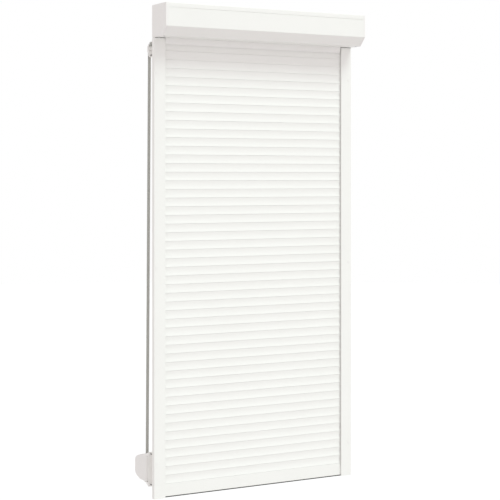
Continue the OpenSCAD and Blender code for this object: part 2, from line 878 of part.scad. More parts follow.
// room inside the hood, open to the frame and downwards
module hood_hollow() {
    back = frame_depth - 1;
    front = hood_front - guide_wall;
    half = hood_half - guide_wall;
    plan = rounded([[-half, back], [half, back], [half, front], [-half, front]],
                   [0.4, 0.4, hood_round - guide_wall, hood_round - guide_wall], 4);
    intersection() {
        along_x(-half, half)
            polygon([[back, strap_height(back) + hood_room], [back, guide_window],
                     [frame_depth + guide_wall, guide_window], [frame_depth + guide_wall, hood_bottom - 5],
                     [front, hood_bottom - 5], [front, strap_height(front) + hood_room]]);
        upright(hood_bottom - 6, hood_top + 2, plan, 0);
    }
}

module strap_guide() {
    color("white")
    translate([-strap_x, 0, 0])
        difference() {
            union() {
                along_y(frame_depth, frame_depth + guide_wall)
                    guide_plate();
                guide_hood();
            }
            hood_hollow();
            rod_x(pin_cover - hood_half, hood_half - pin_cover, guide_centre[0], guide_centre[1], 2 + fit);
            for (z = guide_screw_zs)
                rod_y(0, frame_depth - 1, frame_depth + guide_wall + 1, z, screw_hole_radius);
        }
}

module guide_roller_pin() {
    half = hood_half - pin_cover - fit;
    color("silver")
    rod_x(-strap_x - half, -strap_x + half, guide_centre[0], guide_centre[1], 2);
}

module guide_roller() {
    color("whitesmoke")
    translate([-strap_x, guide_centre[0], guide_centre[1]])
        rotate([0, 90, 0])
            difference() {
                union() {
                    cylinder(h = 2 * groove_half, r = guide_roller_radius, center = true);
                    for (s = [-1, 1])
                        translate([0, 0, s * (groove_half + roller_flange / 2)])
                            cylinder(h = roller_flange, r = guide_roller_radius + 2, center = true);
                }
                cylinder(h = 4 * groove_half, r = 2 + play, center = true);
            }
}

// winder

module winder_bracket() {
    half = fitting_width / 2;
    low = winder_bottom - bracket_over;
    high = winder_top + bracket_over;
    back = frame_depth + 0.5;
    brow = frame_depth + bracket_sheet + 2;
    color("white")
    translate([-strap_x, 0, 0])
        difference() {
            union() {
                along_y(frame_depth, frame_depth + bracket_sheet)
                    polygon(rounded([[-half, low], [half, low], [half, high], [-half, high]], 4, 4));
                for (z = [lug_top - bracket_sheet, lug_bottom])
                    translate([0, 0, z])
                        linear_extrude(bracket_sheet) {
                            translate([-half, back])
                                square([fitting_width, pivot_y - back]);
                            translate([0, pivot_y])
                                circle(r = half);
                        }
                for (x = [-half, half - cheek])
                    along_x(x, x + cheek) {
                        polygon([[back, lug_top - 0.5], [pivot_y - 2, lug_top - 0.5], [brow, high - 2],
                                 [back, high - 2]]);
                        polygon([[back, lug_bottom + 0.5], [back, low + 2], [brow, low + 2],
                                 [pivot_y - 8, lug_bottom + 0.5]]);
                    }
            }
            translate([0, pivot_y, winder_top])
                cylinder(h = 3 * bracket_sheet, r = neck_radius + play);
            translate([0, pivot_y, winder_bottom - 3 * bracket_sheet])
                cylinder(h = 3 * bracket_sheet, r = foot_pin_radius + play);
            for (z = bracket_screw_zs)
                rod_y(0, frame_depth - 1, frame_depth + bracket_sheet + 1, z, screw_hole_radius);
        }
}

// outer form of the housing, its faces drawn in by gap
module winder_form(gap) {
    nose = pivot_y - winder_nose;
    back = pivot_y + winder_reach;
    outline = rounded(winder_points, winder_radii, 8);
    plan = rounded([[-winder_half, nose], [winder_half, nose], [winder_half, back], [-winder_half, back]],
                   [nose_round, nose_round, back_round, back_round], 6);
    intersection() {
        along_x(-winder_half, winder_half)
            polygon(inset(outline, gap));
        upright(winder_bottom - 1, winder_top + 1, plan, gap);
    }
}

// both halves of the housing in one piece, with the middle plane at X = 0
module winder_housing() {
    difference() {
        union() {
            difference() {
                winder_form(0);
                winder_form(winder_wall);
            }
            translate([0, pivot_y, winder_top - winder_wall])
                cylinder(h = neck_top - winder_top + winder_wall, r = neck_radius);
            translate([0, pivot_y, winder_bottom - clear - bracket_sheet - 1])
                cylinder(h = 12, r = foot_pin_radius);
            translate([0, pivot_y, winder_bottom])
                cylinder(h = 7, r = foot_pin_radius + 3);
            for (p = winder_screw_places)
                rod_x(-cavity_half - 0.5, cavity_half + 0.5, p[0], p[1], 4);
            rod_x(-cavity_half - 0.5, cavity_half + 0.5, clamp_y, clamp_z, clamp_pin_radius);
        }
        block([-strap_width / 2 - 0.7, pivot_y - 1.6, winder_top - winder_wall - 1],
              [strap_width / 2 + 0.7, pivot_y + neck_slot, neck_top + 1]);
        for (p = winder_screw_places) {
            rod_x(3 - winder_half, winder_half + 1, p[0], p[1], 1.6);
            rod_x(winder_half - 2.4, winder_half + 1, p[0], p[1], 3.1);
        }
    }
}

module winder_housing_left() {
    color("white")
    translate([-strap_x, 0, 0])
        intersection() {
            winder_housing();
            block([-winder_width, 0, 2 * zb], [-fit / 3, 2 * pivot_y + winder_reach, 0]);
        }
}

module winder_housing_right() {
    color("white")
    translate([-strap_x, 0, 0])
        intersection() {
            winder_housing();
            block([fit / 3, 0, 2 * zb], [winder_width, 2 * pivot_y + winder_reach, 0]);
        }
}

module winder_screws() {
    color("silver")
    for (p = winder_screw_places) {
        rod_x(winder_half - 2.2 - strap_x, winder_half - 0.4 - strap_x, p[0], p[1], 2.9);
        rod_x(4 - winder_half - strap_x, winder_half - 1 - strap_x, p[0], p[1], 1.45);
    }
}

module spool_axle() {
    color("silver")
    rod_x(fit - cavity_half - strap_x, cavity_half - fit - strap_x, spool_y, spool_z, axle_radius);
}

module strap_lead() {
    color("gray")
    strap_plane()
        band([strap_neck, lead_end], strap_thickness);
}

module strap_clamp() {
    low = -strap_x - groove_half;
    high = -strap_x + groove_half;
    color("silver")
    difference() {
        union() {
            rod_x(low, high, clamp_y, clamp_z, clamp_pin_radius + 2.5);
            translate([0, clamp_y, clamp_z])
                along_x(low, high)
                    rotate(-atan(lead_slope))
                        polygon([[1, -4.2], [0.6 - clamp_reach, -3.4], [-clamp_reach, -1.6],
                                 [0.5 - clamp_reach, -0.8], [-clamp_reach, 0.4], [0.6 - clamp_reach, 1.4],
                                 [1.2 - clamp_reach, 2.4], [1, 4.2]]);
        }
        rod_x(low - 1, high + 1, clamp_y, clamp_z, clamp_pin_radius + play);
    }
}

module winder_spool() {
    inner = drum_radius - 3;
    color("gainsboro")
    translate([-strap_x, spool_y, spool_z])
        rotate([0, 90, 0])
            difference() {
                union() {
                    cylinder(h = 2 * groove_half, r = drum_radius, center = true);
                    for (s = [-1, 1])
                        translate([0, 0, s * (groove_half + spool_half) / 2])
                            cylinder(h = spool_half - groove_half, r = spool_radius, center = true);
                }
                cylinder(h = 2 * groove_half - 0.6, r = inner, center = true);
                cylinder(h = 4 * spool_half, r = axle_radius + play, center = true);
            }
}

module strap_coil() {
    color("gray")
    strap_plane()
        band(coil_line, strap_thickness);
}

module mainspring() {
    color("dimgray")
    along_x(-strap_x - groove_half + 1.5, -strap_x + groove_half - 1.5)
        band(mainspring_line, mainspring_thickness);
}

// curtain

// neck and bulb that a slat or the bottom bar hangs from
module hook() {
    translate([0, bulb_height])
        circle(r = bulb_radius);
    translate([-neck_width / 2, -seam_gap - 0.2])
        square([neck_width, bulb_height + seam_gap + 0.2]);
}

// section of a slat, with its lower seam at the origin
module slat_section() {
    low = seam_gap / 2;
    high = slat_pitch - seam_gap / 2;
    half = slat_thickness / 2;
    chord = (high - low) / 2;
    bow = (chord * chord + slat_sagitta * slat_sagitta) / (2 * slat_sagitta);
    middle = slat_pitch / 2;
    difference() {
        intersection() {
            translate([-half, low])
                square([slat_thickness, high - low]);
            translate([half - bow, middle])
                circle(r = bow);
        }
        translate([slat_sagitta - half - bow, middle])
            circle(r = bow);
        translate([0, bulb_height])
            circle(r = pocket_radius);
        translate([-neck_width / 2 - hook_play, 0])
            square([neck_width + 2 * hook_play, bulb_height]);
        difference() {
            intersection() {
                translate([-half, bulb_height + pocket_radius + slat_wall])
                    square([slat_thickness, high - bulb_height - pocket_radius - 2.5 * slat_wall]);
                translate([half - bow, middle])
                    circle(r = bow - slat_wall);
            }
            translate([slat_sagitta - half - bow, middle])
                circle(r = bow + slat_wall);
        }
    }
    translate([0, slat_pitch])
        hook();
}

module slat_bundle(j) {
    first = j * bundle_size;
    last = min(first + bundle_size, slat_count) - 1;
    color("white")
    for (i = [first:last])
        translate([0, curtain_y, bar_top + i * slat_pitch])
            along_x(-slat_half, slat_half)
                slat_section();
}

// outline of the bottom bar, with its lower edge at the origin
module bar_outline() {
    half = bar_thickness / 2;
    polygon(rounded([[-half, 0], [half, 0], [half, bar_height - seam_gap / 2], [-half, bar_height - seam_gap / 2]],
                    0.8, 3));
}

module bar_hollow(gap) {
    half = bar_thickness / 2 - bar_wall - gap;
    translate([-half, 8 + gap])
        square([2 * half, bar_height - seam_gap / 2 - 8 - bar_wall - 2 * gap]);
}

module bottom_bar() {
    end = slat_half - bar_wall - fit;
    color("white")
    translate([0, curtain_y, zb + seal_height])
        along_x(-end, end) {
            difference() {
                bar_outline();
                bar_hollow(0);
                translate([-1.5, -1])
                    square([3, 4]);
                translate([-3.2, 2])
                    square([6.4, 3.4]);
            }
            translate([0, bar_height])
                hook();
        }
}

module bottom_seal() {
    half = bar_thickness / 2 - 0.4;
    color("dimgray")
    translate([0, curtain_y, zb + seal_height])
        along_x(-slat_half + 2 * bar_wall, slat_half - 2 * bar_wall) {
            translate([-3.2 + fit, 2 + fit])
                square([6.4 - 2 * fit, 3.4 - 2 * fit]);
            translate([-1.5 + fit, -1])
                square([3 - 2 * fit, 4]);
            polygon([[half, -fit], [-half, -fit], [-half, 1.6 - seal_height], [0.9 - half, 0.3 - seal_height],
                     [half - 0.9, 0.3 - seal_height], [half, 1.6 - seal_height]]);
        }
}

module bar_end_plugs() {
    color("white")
    both_sides()
        translate([0, curtain_y, zb + seal_height]) {
            along_x(slat_half - bar_wall, slat_half)
                bar_outline();
            along_x(slat_half - bar_wall - 14, slat_half - bar_wall + 0.5)
                bar_hollow(fit);
        }
}

box_shell();
inspection_cover();
left_end_cap();
right_end_cap();
left_guide_rail();
right_guide_rail();
rail_brushes();
inlet_guides();
cover_screws();
rail_fixing_caps();
left_bearing_bracket();
right_bearing_bracket();
bearing_outer_rings();
bracket_screws();
strap_tube();
strap_guide();
guide_roller_pin();
strap_run();
winder_bracket();
roller_tube();
strap_pulley();
shaft_plug();
bearing_inner_rings();
strap_winding();
suspension_springs();
guide_roller();
winder_housing_left();
winder_housing_right();
winder_screws();
spool_axle();
strap_lead();
strap_clamp();
winder_spool();
strap_coil();
mainspring();
bottom_bar();
bottom_seal();
bar_end_plugs();
for (j = [0:bundle_count - 1])
    slat_bundle(j);
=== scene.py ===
# %% [markdown]
# # A front-mounted roller shutter
# The shutter hangs on the street side of a window. Its curtain of white slats runs between two guide rails
# into a box with a slanted lower edge, and a grey strap on the room side lifts it. The rigid pieces come
# packed from the CAD model, in metres and already in place. What is left for this lesson is their finish,
# and the small pieces that need more form than a plain solid, or that have no solid at all: the webbing of
# the strap, the brushes, the lips, the dark strips of painted shade on the rails, the wiper under the strap
# and the screws.

# %% Load the imported shutter
import bpy
import bmesh
import json
import math
import random
from mathutils import Matrix, Vector


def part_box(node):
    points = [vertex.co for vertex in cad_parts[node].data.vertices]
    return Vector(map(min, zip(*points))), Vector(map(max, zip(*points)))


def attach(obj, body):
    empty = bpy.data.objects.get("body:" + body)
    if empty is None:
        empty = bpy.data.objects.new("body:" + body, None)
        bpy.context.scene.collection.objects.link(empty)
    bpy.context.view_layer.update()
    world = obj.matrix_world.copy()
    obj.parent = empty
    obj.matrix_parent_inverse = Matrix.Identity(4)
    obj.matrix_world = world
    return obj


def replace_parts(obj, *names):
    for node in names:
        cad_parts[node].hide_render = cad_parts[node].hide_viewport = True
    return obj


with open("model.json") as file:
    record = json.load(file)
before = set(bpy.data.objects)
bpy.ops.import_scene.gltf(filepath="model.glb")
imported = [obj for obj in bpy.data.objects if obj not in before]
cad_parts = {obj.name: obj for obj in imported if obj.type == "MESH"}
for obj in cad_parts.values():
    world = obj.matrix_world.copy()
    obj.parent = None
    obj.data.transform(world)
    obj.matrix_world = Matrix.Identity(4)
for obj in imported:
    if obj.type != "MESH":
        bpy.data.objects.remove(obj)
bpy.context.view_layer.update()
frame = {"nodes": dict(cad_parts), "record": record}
nodes = frame["nodes"]

# %% [markdown]
# ## The view
# The picture looks from the street, from the left and slightly above the middle of the shutter. Its upright
# edges stay parallel, so the camera is level, and the frame is moved down with a lens shift instead of a
# tilt.

# %% Camera
scene = bpy.context.scene
scene.view_settings.view_transform = "Standard"
lens = bpy.data.cameras.new("street_view")
lens.sensor_width = 36
lens.lens = 100.44
lens.shift_y = -0.146
camera = bpy.data.objects.new("street_view", lens)
camera.location = (-3.059, -5.3765, 0.3875)
camera.rotation_euler = (math.radians(90), 0, math.radians(-29.47))
scene.collection.objects.link(camera)
scene.camera = camera
print("camera at", tuple(camera.location), "lens", lens.lens)

# %% [markdown]
# ## Light
# A white object on white is drawn by small steps of light alone. A pale sky lights it from all round, a
# little less from straight above so that the top of the box keeps its tone. Camera and mirror rays meet
# plain white instead, which makes the background white without putting more light on the shutter.

# %% Sky
world = bpy.data.worlds.new("pale_sky")
scene.world = world
world.use_nodes = True
sky = world.node_tree
sky.nodes.clear()
direction = sky.nodes.new("ShaderNodeTexCoord")
split = sky.nodes.new("ShaderNodeSeparateXYZ")
height = sky.nodes.new("ShaderNodeMapRange")
height.inputs["To Min"].default_value = 0.95
height.inputs["To Max"].default_value = 0.705
glow = sky.nodes.new("ShaderNodeBackground")
glow.inputs["Color"].default_value = (1.0, 0.965, 0.964, 1)
plain = sky.nodes.new("ShaderNodeBackground")
plain.inputs["Color"].default_value = (1, 1, 1, 1)
rays = sky.nodes.new("ShaderNodeLightPath")
seen = sky.nodes.new("ShaderNodeMath")
seen.operation = "MAXIMUM"
seen_too = sky.nodes.new("ShaderNodeMath")
seen_too.operation = "MAXIMUM"
pick = sky.nodes.new("ShaderNodeMixShader")
out = sky.nodes.new("ShaderNodeOutputWorld")
sky.links.new(direction.outputs["Generated"], split.inputs[0])
sky.links.new(split.outputs["Z"], height.inputs["Value"])
sky.links.new(height.outputs["Result"], glow.inputs["Strength"])
sky.links.new(rays.outputs["Is Camera Ray"], seen.inputs[0])
sky.links.new(rays.outputs["Is Glossy Ray"], seen.inputs[1])
sky.links.new(seen.outputs[0], seen_too.inputs[0])
sky.links.new(rays.outputs["Is Transmission Ray"], seen_too.inputs[1])
sky.links.new(seen_too.outputs[0], pick.inputs["Fac"])
sky.links.new(glow.outputs[0], pick.inputs[1])
sky.links.new(plain.outputs[0], pick.inputs[2])
sky.links.new(pick.outputs[0], out.inputs["Surface"])
print("sky from", height.inputs["To Min"].default_value, "to", height.inputs["To Max"].default_value)

# %% [markdown]
# The one lamp stands high in front, a little to the right. It shades the hollow of every slat and lays the
# soft shadow of the box on the top of the curtain. A wide angle gives that shadow its slow edge.

# %% Lamp
lamp = bpy.data.lights.new("high_front", "SUN")
lamp.energy = 1.325
lamp.angle = math.radians(24)
lamp.color = (0.865, 1.0, 0.96)
lamp_place = bpy.data.objects.new("high_front", lamp)
lamp_rise = math.radians(53)
lamp_turn = math.radians(20)
level = math.cos(lamp_rise)
towards = Vector((level * math.sin(lamp_turn), -level * math.cos(lamp_turn), math.sin(lamp_rise)))
lamp_place.rotation_euler = towards.to_track_quat("Z", "Y").to_euler()
scene.collection.objects.link(lamp_place)
print("lamp comes from", tuple(round(value, 2) for value in towards))

# %% [markdown]
# ## Shared effects
# Every finish here is made of a few effects: a fine grain, a slow change of tone, drawn lines, dust on
# ledges, and the weave of the strap. Each is a node group with named sockets, built once and set per
# material.

# %% Helpers for node groups
def effect(name, inputs, outputs):
    tree = bpy.data.node_groups.new(name, "ShaderNodeTree")
    for label, kind, value in inputs:
        socket = tree.interface.new_socket(label, in_out="INPUT", socket_type="NodeSocket" + kind)
        socket.default_value = value
    for label, kind in outputs:
        tree.interface.new_socket(label, in_out="OUTPUT", socket_type="NodeSocket" + kind)
    return tree, tree.nodes.new("NodeGroupInput"), tree.nodes.new("NodeGroupOutput")


def maths(tree, operation, first, second=None):
    node = tree.nodes.new("ShaderNodeMath")
    node.operation = operation
    for socket, value in zip(node.inputs, (first, second)):
        if isinstance(value, (int, float)):
            socket.default_value = value
        elif value is not None:
            tree.links.new(value, socket)
    return node.outputs[0]


def noise(tree, vector, scale, detail):
    node = tree.nodes.new("ShaderNodeTexNoise")
    node.inputs["Detail"].default_value = detail
    tree.links.new(vector, node.inputs["Vector"])
    if isinstance(scale, (int, float)):
        node.inputs["Scale"].default_value = scale
    else:
        tree.links.new(scale, node.inputs["Scale"])
    return node.outputs["Fac"]


def blend_colours(tree, amount, first, second):
    node = tree.nodes.new("ShaderNodeMix")
    node.data_type = "RGBA"
    tree.links.new(amount, node.inputs["Factor"])
    for socket, value in ((node.inputs[6], first), (node.inputs[7], second)):
        if isinstance(value, tuple):
            socket.default_value = value
        else:
            tree.links.new(value, socket)
    return node.outputs[2]


print("helpers ready")

# %% [markdown]
# Paint and moulded plastic are never quite smooth. This group gives the height of a fine skin for a bump,
# and a roughness that wanders slowly between two values, so highlights don't look printed.

# %% Effect: fine skin
skin, given, result = effect(
    "fine_skin",
    [("Scale", "Float", 600.0), ("Smoothest", "Float", 0.35), ("Roughest", "Float", 0.5)],
    [("Height", "Float"), ("Roughness", "Float")])
where = skin.nodes.new("ShaderNodeTexCoord").outputs["Object"]
skin.links.new(noise(skin, where, given.outputs["Scale"], detail=3), result.inputs["Height"])
spread = skin.nodes.new("ShaderNodeMapRange")
spread.inputs["From Min"].default_value = 0.3
spread.inputs["From Max"].default_value = 0.7
skin.links.new(noise(skin, where, scale=9.0, detail=4), spread.inputs["Value"])
skin.links.new(given.outputs["Smoothest"], spread.inputs["To Min"])
skin.links.new(given.outputs["Roughest"], spread.inputs["To Max"])
skin.links.new(spread.outputs["Result"], result.inputs["Roughness"])
print("fine_skin:", len(skin.nodes), "nodes")

# %% [markdown]
# White paint in daylight drifts a little in tone from place to place, and dust settles on what faces up.
# The dust mask comes from the surface's own normal, so it stays put when the view moves.

# %% Effect: settled tone
tone, given, result = effect(
    "settled_tone",
    [("Color", "Color", (0.9, 0.9, 0.9, 1)), ("Drift", "Color", (0.87, 0.87, 0.86, 1)),
     ("Dust", "Color", (0.74, 0.72, 0.68, 1)), ("Dust Amount", "Float", 0.3)],
    [("Color", "Color"), ("Dust Mask", "Float")])
where = tone.nodes.new("ShaderNodeTexCoord").outputs["Object"]
drift = tone.nodes.new("ShaderNodeMapRange")
drift.inputs["From Min"].default_value = 0.35
drift.inputs["From Max"].default_value = 0.75
tone.links.new(noise(tone, where, scale=4.0, detail=5), drift.inputs["Value"])
upward = tone.nodes.new("ShaderNodeSeparateXYZ")
tone.links.new(tone.nodes.new("ShaderNodeNewGeometry").outputs["Normal"], upward.inputs[0])
DUST_FALLOFF = 6.0
facing = maths(tone, "POWER", maths(tone, "MAXIMUM", upward.outputs["Z"], 0.0), DUST_FALLOFF)
patchy = maths(tone, "MULTIPLY", facing, noise(tone, where, scale=45.0, detail=6))
dusty = maths(tone, "MULTIPLY", patchy, given.outputs["Dust Amount"])
drifted = blend_colours(tone, drift.outputs["Result"], given.outputs["Color"], given.outputs["Drift"])
tone.links.new(blend_colours(tone, dusty, drifted, given.outputs["Dust"]), result.inputs["Color"])
tone.links.new(dusty, result.inputs["Dust Mask"])
print("settled_tone:", len(tone.nodes), "nodes")

# %% [markdown]
# Extruded slats, drawn rails and rolled springs carry lines along the way they were pulled. The lines are
# noise that is squeezed across one direction and stretched along the other.

# %% Effect: drawn lines
lines, given, result = effect(
    "drawn_lines",
    [("Stretch", "Vector", (2.0, 900.0, 900.0))],
    [("Height", "Float"), ("Shade", "Float")])
where = lines.nodes.new("ShaderNodeTexCoord").outputs["Object"]
pulled = lines.nodes.new("ShaderNodeVectorMath")
pulled.operation = "MULTIPLY"
lines.links.new(where, pulled.inputs[0])
lines.links.new(given.outputs["Stretch"], pulled.inputs[1])
line_noise = noise(lines, pulled.outputs[0], scale=1.0, detail=2)
lines.links.new(line_noise, result.inputs["Height"])
LINE_LIMIT = 0.6
lines.links.new(maths(lines, "SMOOTH_MIN", line_noise, LINE_LIMIT), result.inputs["Shade"])
print("drawn_lines:", len(lines.nodes), "nodes")

# %% [markdown]
# Strap webbing is a narrow, dense weave: cords run along it, and the weft passes over and under them, half
# a step later on each cord. The strap's UV map holds metres, across and along, so the weave keeps its real
# scale.

# %% Effect: webbing weave
weave, given, result = effect(
    "webbing_weave",
    [("Cord", "Float", 0.00105), ("Pick", "Float", 0.0017)],
    [("Height", "Float"), ("Thread", "Float")])
CORD_CROWN, PASS_DEPTH, THREAD_STEP = 3.6, 0.25, 0.3819
flat = weave.nodes.new("ShaderNodeSeparateXYZ")
weave.links.new(weave.nodes.new("ShaderNodeTexCoord").outputs["UV"], flat.inputs[0])
across = maths(weave, "DIVIDE", flat.outputs["X"], given.outputs["Cord"])
cord_number = maths(weave, "FLOOR", across)
inside_cord = maths(weave, "SUBTRACT", maths(weave, "FRACT", across), 0.5)
fall = maths(weave, "MULTIPLY", maths(weave, "POWER", inside_cord, 2.0), CORD_CROWN)
hump = maths(weave, "SUBTRACT", 1.0, fall)
along = maths(weave, "DIVIDE", flat.outputs["Y"], given.outputs["Pick"])
shifted = maths(weave, "ADD", along, maths(weave, "MULTIPLY", cord_number, 0.5))
pass_over = maths(weave, "SINE", maths(weave, "MULTIPLY", shifted, 2 * math.pi))
raised = maths(weave, "ADD", maths(weave, "MULTIPLY", pass_over, PASS_DEPTH), 1.0 - PASS_DEPTH)
weave.links.new(maths(weave, "MULTIPLY", hump, raised), result.inputs["Height"])
thread_tone = maths(weave, "FRACT", maths(weave, "MULTIPLY", cord_number, THREAD_STEP))
weave.links.new(thread_tone, result.inputs["Thread"])
print("webbing_weave:", len(weave.nodes), "nodes")

# %% [markdown]
# ## Finishes
# Each finish is a material of its own. The shader stays in the material, and the groups feed its colour,
# roughness and bump. A value that is the same all over is set on the shader's socket.

# %% Helpers for finishes
def finish(name, roughness=0.5, metallic=0.0):
    material = bpy.data.materials.new(name)
    material.use_nodes = True
    tree = material.node_tree
    shader = tree.nodes["Principled BSDF"]
    shader.inputs["Roughness"].default_value = roughness
    shader.inputs["Metallic"].default_value = metallic
    return material, tree, shader


def use(tree, group, **values):
    node = tree.nodes.new("ShaderNodeGroup")
    node.node_tree = group
    for label, value in values.items():
        node.inputs[label.replace("_", " ")].default_value = value
    return node


def emboss(tree, shader, height, strength, distance):
    bump = tree.nodes.new("ShaderNodeBump")
    bump.inputs["Strength"].default_value = strength
    bump.inputs["Distance"].default_value = distance
    tree.links.new(height, bump.inputs["Height"])
    tree.links.new(bump.outputs["Normal"], shader.inputs["Normal"])


def feed(tree, shader, colour, roughness):
    tree.links.new(colour, shader.inputs["Base Color"])
    tree.links.new(roughness, shader.inputs["Roughness"])


print("finish helpers ready")

# %% [markdown]
# The box, the rails and the bottom bar are aluminium with a white powder coat. Powder melts into a skin
# with a slight orange peel, a few millimetres across, and a satin gloss.

# %% Finish: powder coat
powder_coat, tree, shader = finish("white_powder_coat")
peel = use(tree, skin, Scale=420.0, Smoothest=0.36, Roughest=0.46)
coat = use(tree, tone, Color=(0.905, 0.907, 0.88, 1), Drift=(0.89, 0.891, 0.865, 1), Dust_Amount=0.35)
feed(tree, shader, coat.outputs["Color"], peel.outputs["Roughness"])
emboss(tree, shader, peel.outputs["Height"], strength=0.12, distance=0.00025)
shader.inputs["Specular IOR Level"].default_value = 0.35
print("made", powder_coat.name)

# %% [markdown]
# The slats are drawn through a die, so their skin has faint lines along the width of the window. The lines
# shift both the bump and the tone by very little: seen from the street the slats are plain white.

# %% Finish: extruded slat
slat_white, tree, shader = finish("white_slat")
drawn = use(tree, lines, Stretch=(1.2, 700.0, 700.0))
coat = use(tree, tone, Color=(0.915, 0.918, 0.893, 1), Drift=(0.905, 0.907, 0.88, 1), Dust_Amount=0.15)
STREAK_AMOUNT, STREAK_TONE = 0.12, (0.84, 0.84, 0.82, 1)
streak_mask = maths(tree, "MULTIPLY", drawn.outputs["Shade"], STREAK_AMOUNT)
streak = blend_colours(tree, streak_mask, coat.outputs["Color"], STREAK_TONE)
peel = use(tree, skin, Scale=900.0, Smoothest=0.4, Roughest=0.5)
feed(tree, shader, streak, peel.outputs["Roughness"])
emboss(tree, shader, drawn.outputs["Height"], strength=0.08, distance=0.00012)
shader.inputs["Specular IOR Level"].default_value = 0.3
print("made", slat_white.name)

# %% [markdown]
# End caps, guides and the winder's housing are moulded in white plastic, with the dull, even grain of an
# eroded mould, finer than the orange peel of the paint.

# %% Finish: moulded plastic
moulded, tree, shader = finish("white_moulded_plastic")
grain = use(tree, skin, Scale=1500.0, Smoothest=0.48, Roughest=0.58)
coat = use(tree, tone, Color=(0.9, 0.895, 0.875, 1), Drift=(0.885, 0.88, 0.86, 1), Dust_Amount=0.25)
feed(tree, shader, coat.outputs["Color"], grain.outputs["Roughness"])
emboss(tree, shader, grain.outputs["Height"], strength=0.18, distance=0.0001)
shader.inputs["Specular IOR Level"].default_value = 0.3
print("made", moulded.name)

# %% [markdown]
# The inlet guides that lead the curtain into the rails are the one dark moulding. They sit behind the gap
# between rail and box; their near-black colour is partly their own and partly painted shade, so the gap
# reads as a dark line.

# %% Finish: dark moulded plastic
dark_moulded, tree, shader = finish("dark_moulding_and_painted_shade")
grain = use(tree, skin, Scale=1500.0, Smoothest=0.5, Roughest=0.62)
# partly the moulding's own dark colour, partly painted shade for the gap between rail and box
coat = use(tree, tone, Color=(0.06, 0.06, 0.06, 1), Drift=(0.085, 0.084, 0.082, 1),
           Dust=(0.3, 0.29, 0.27, 1), Dust_Amount=0.25)
feed(tree, shader, coat.outputs["Color"], grain.outputs["Roughness"])
emboss(tree, shader, grain.outputs["Height"], strength=0.18, distance=0.0001)
shader.inputs["Specular IOR Level"].default_value = 0.3
print("made", dark_moulded.name)

# %% [markdown]
# The winder's bracket is bent from steel sheet and dipped in white lacquer, which is glossier and runs thin
# on the edges.

# %% Finish: lacquered steel
lacquer, tree, shader = finish("white_lacquer")
peel = use(tree, skin, Scale=260.0, Smoothest=0.25, Roughest=0.36)
coat = use(tree, tone, Color=(0.925, 0.922, 0.9, 1), Drift=(0.91, 0.906, 0.885, 1), Dust_Amount=0.3)
feed(tree, shader, coat.outputs["Color"], peel.outputs["Roughness"])
emboss(tree, shader, peel.outputs["Height"], strength=0.08, distance=0.0003)
print("made", lacquer.name)

# %% [markdown]
# The strap is woven polyester in a mid grey. Neighbouring cords differ a little in tone, the valleys
# between them get painted shade, a darker colour, and the fibres give a soft sheen at a flat angle.

# %% Finish: strap webbing
webbing, tree, shader = finish("grey_webbing", roughness=0.85)
cloth = use(tree, weave)
threads = blend_colours(tree, cloth.outputs["Thread"], (0.567, 0.578, 0.54, 1), (0.646, 0.66, 0.622, 1))
# painted shade: the low parts of the weave are drawn darker in colour
shaded_valleys = blend_colours(tree, cloth.outputs["Height"], (0.34, 0.346, 0.32, 1), threads)
tree.links.new(shaded_valleys, shader.inputs["Base Color"])
emboss(tree, shader, cloth.outputs["Height"], strength=0.7, distance=0.0003)
shader.inputs["Sheen Weight"].default_value = 0.25
shader.inputs["Sheen Roughness"].default_value = 0.5
shader.inputs["Specular IOR Level"].default_value = 0.2
print("made", webbing.name)

# %% [markdown]
# The lip under the bottom bar, and the strips on the rails that paint the shade of their gap, are black
# rubber: dull, slightly dusty, with a skin as fine as talc.

# %% Finish: rubber
rubber, tree, shader = finish("seal_rubber")
grain = use(tree, skin, Scale=2200.0, Smoothest=0.68, Roughest=0.82)
coat = use(tree, tone, Color=(0.055, 0.054, 0.052, 1), Drift=(0.08, 0.078, 0.075, 1),
           Dust=(0.25, 0.24, 0.22, 1), Dust_Amount=0.5)
feed(tree, shader, coat.outputs["Color"], grain.outputs["Roughness"])
emboss(tree, shader, grain.outputs["Height"], strength=0.25, distance=0.00008)
print("made", rubber.name)

# %% [markdown]
# The brushes in the rails are tufts of grey yarn. Their colour changes from tuft to tuft, along the rail.

# %% Finish: brush yarn
yarn, tree, shader = finish("brush_yarn", roughness=0.9)
tufts = use(tree, lines, Stretch=(1400.0, 200.0, 420.0))
fibre = blend_colours(tree, tufts.outputs["Shade"], (0.16, 0.16, 0.16, 1), (0.42, 0.42, 0.41, 1))
tree.links.new(fibre, shader.inputs["Base Color"])
emboss(tree, shader, tufts.outputs["Height"], strength=0.5, distance=0.0002)
shader.inputs["Sheen Weight"].default_value = 0.2
print("made", yarn.name)

# %% [markdown]
# The lip under the cover's edge is soft white plastic, pressed through a die like the slats but duller.

# %% Finish: soft plastic
soft_white, tree, shader = finish("white_soft_plastic")
drawn = use(tree, lines, Stretch=(1.5, 500.0, 500.0))
coat = use(tree, tone, Color=(0.92, 0.918, 0.9, 1), Drift=(0.905, 0.9, 0.88, 1), Dust_Amount=0.1)
peel = use(tree, skin, Scale=1200.0, Smoothest=0.6, Roughest=0.72)
feed(tree, shader, coat.outputs["Color"], peel.outputs["Roughness"])
emboss(tree, shader, drawn.outputs["Height"], strength=0.1, distance=0.0001)
shader.inputs["Specular IOR Level"].default_value = 0.25
print("made", soft_white.name)

# %% [markdown]
# Brackets, screws and the tube are zinc-plated steel: a cool, bright metal whose gloss changes in clouds.

# %% Finish: zinc
zinc, tree, shader = finish("zinc_plate", metallic=1.0)
cloudy = use(tree, skin, Scale=320.0, Smoothest=0.3, Roughest=0.52)
plate = use(tree, tone, Color=(0.66, 0.67, 0.68, 1), Drift=(0.56, 0.58, 0.6, 1), Dust=(0.4, 0.39, 0.37, 1),
            Dust_Amount=0.3)
feed(tree, shader, plate.outputs["Color"], cloudy.outputs["Roughness"])
emboss(tree, shader, cloudy.outputs["Height"], strength=0.15, distance=0.0001)
print("made", zinc.name)

# %% [markdown]
# The bearing rings are ground bright, and the springs are blued strip with the marks of the rolls.

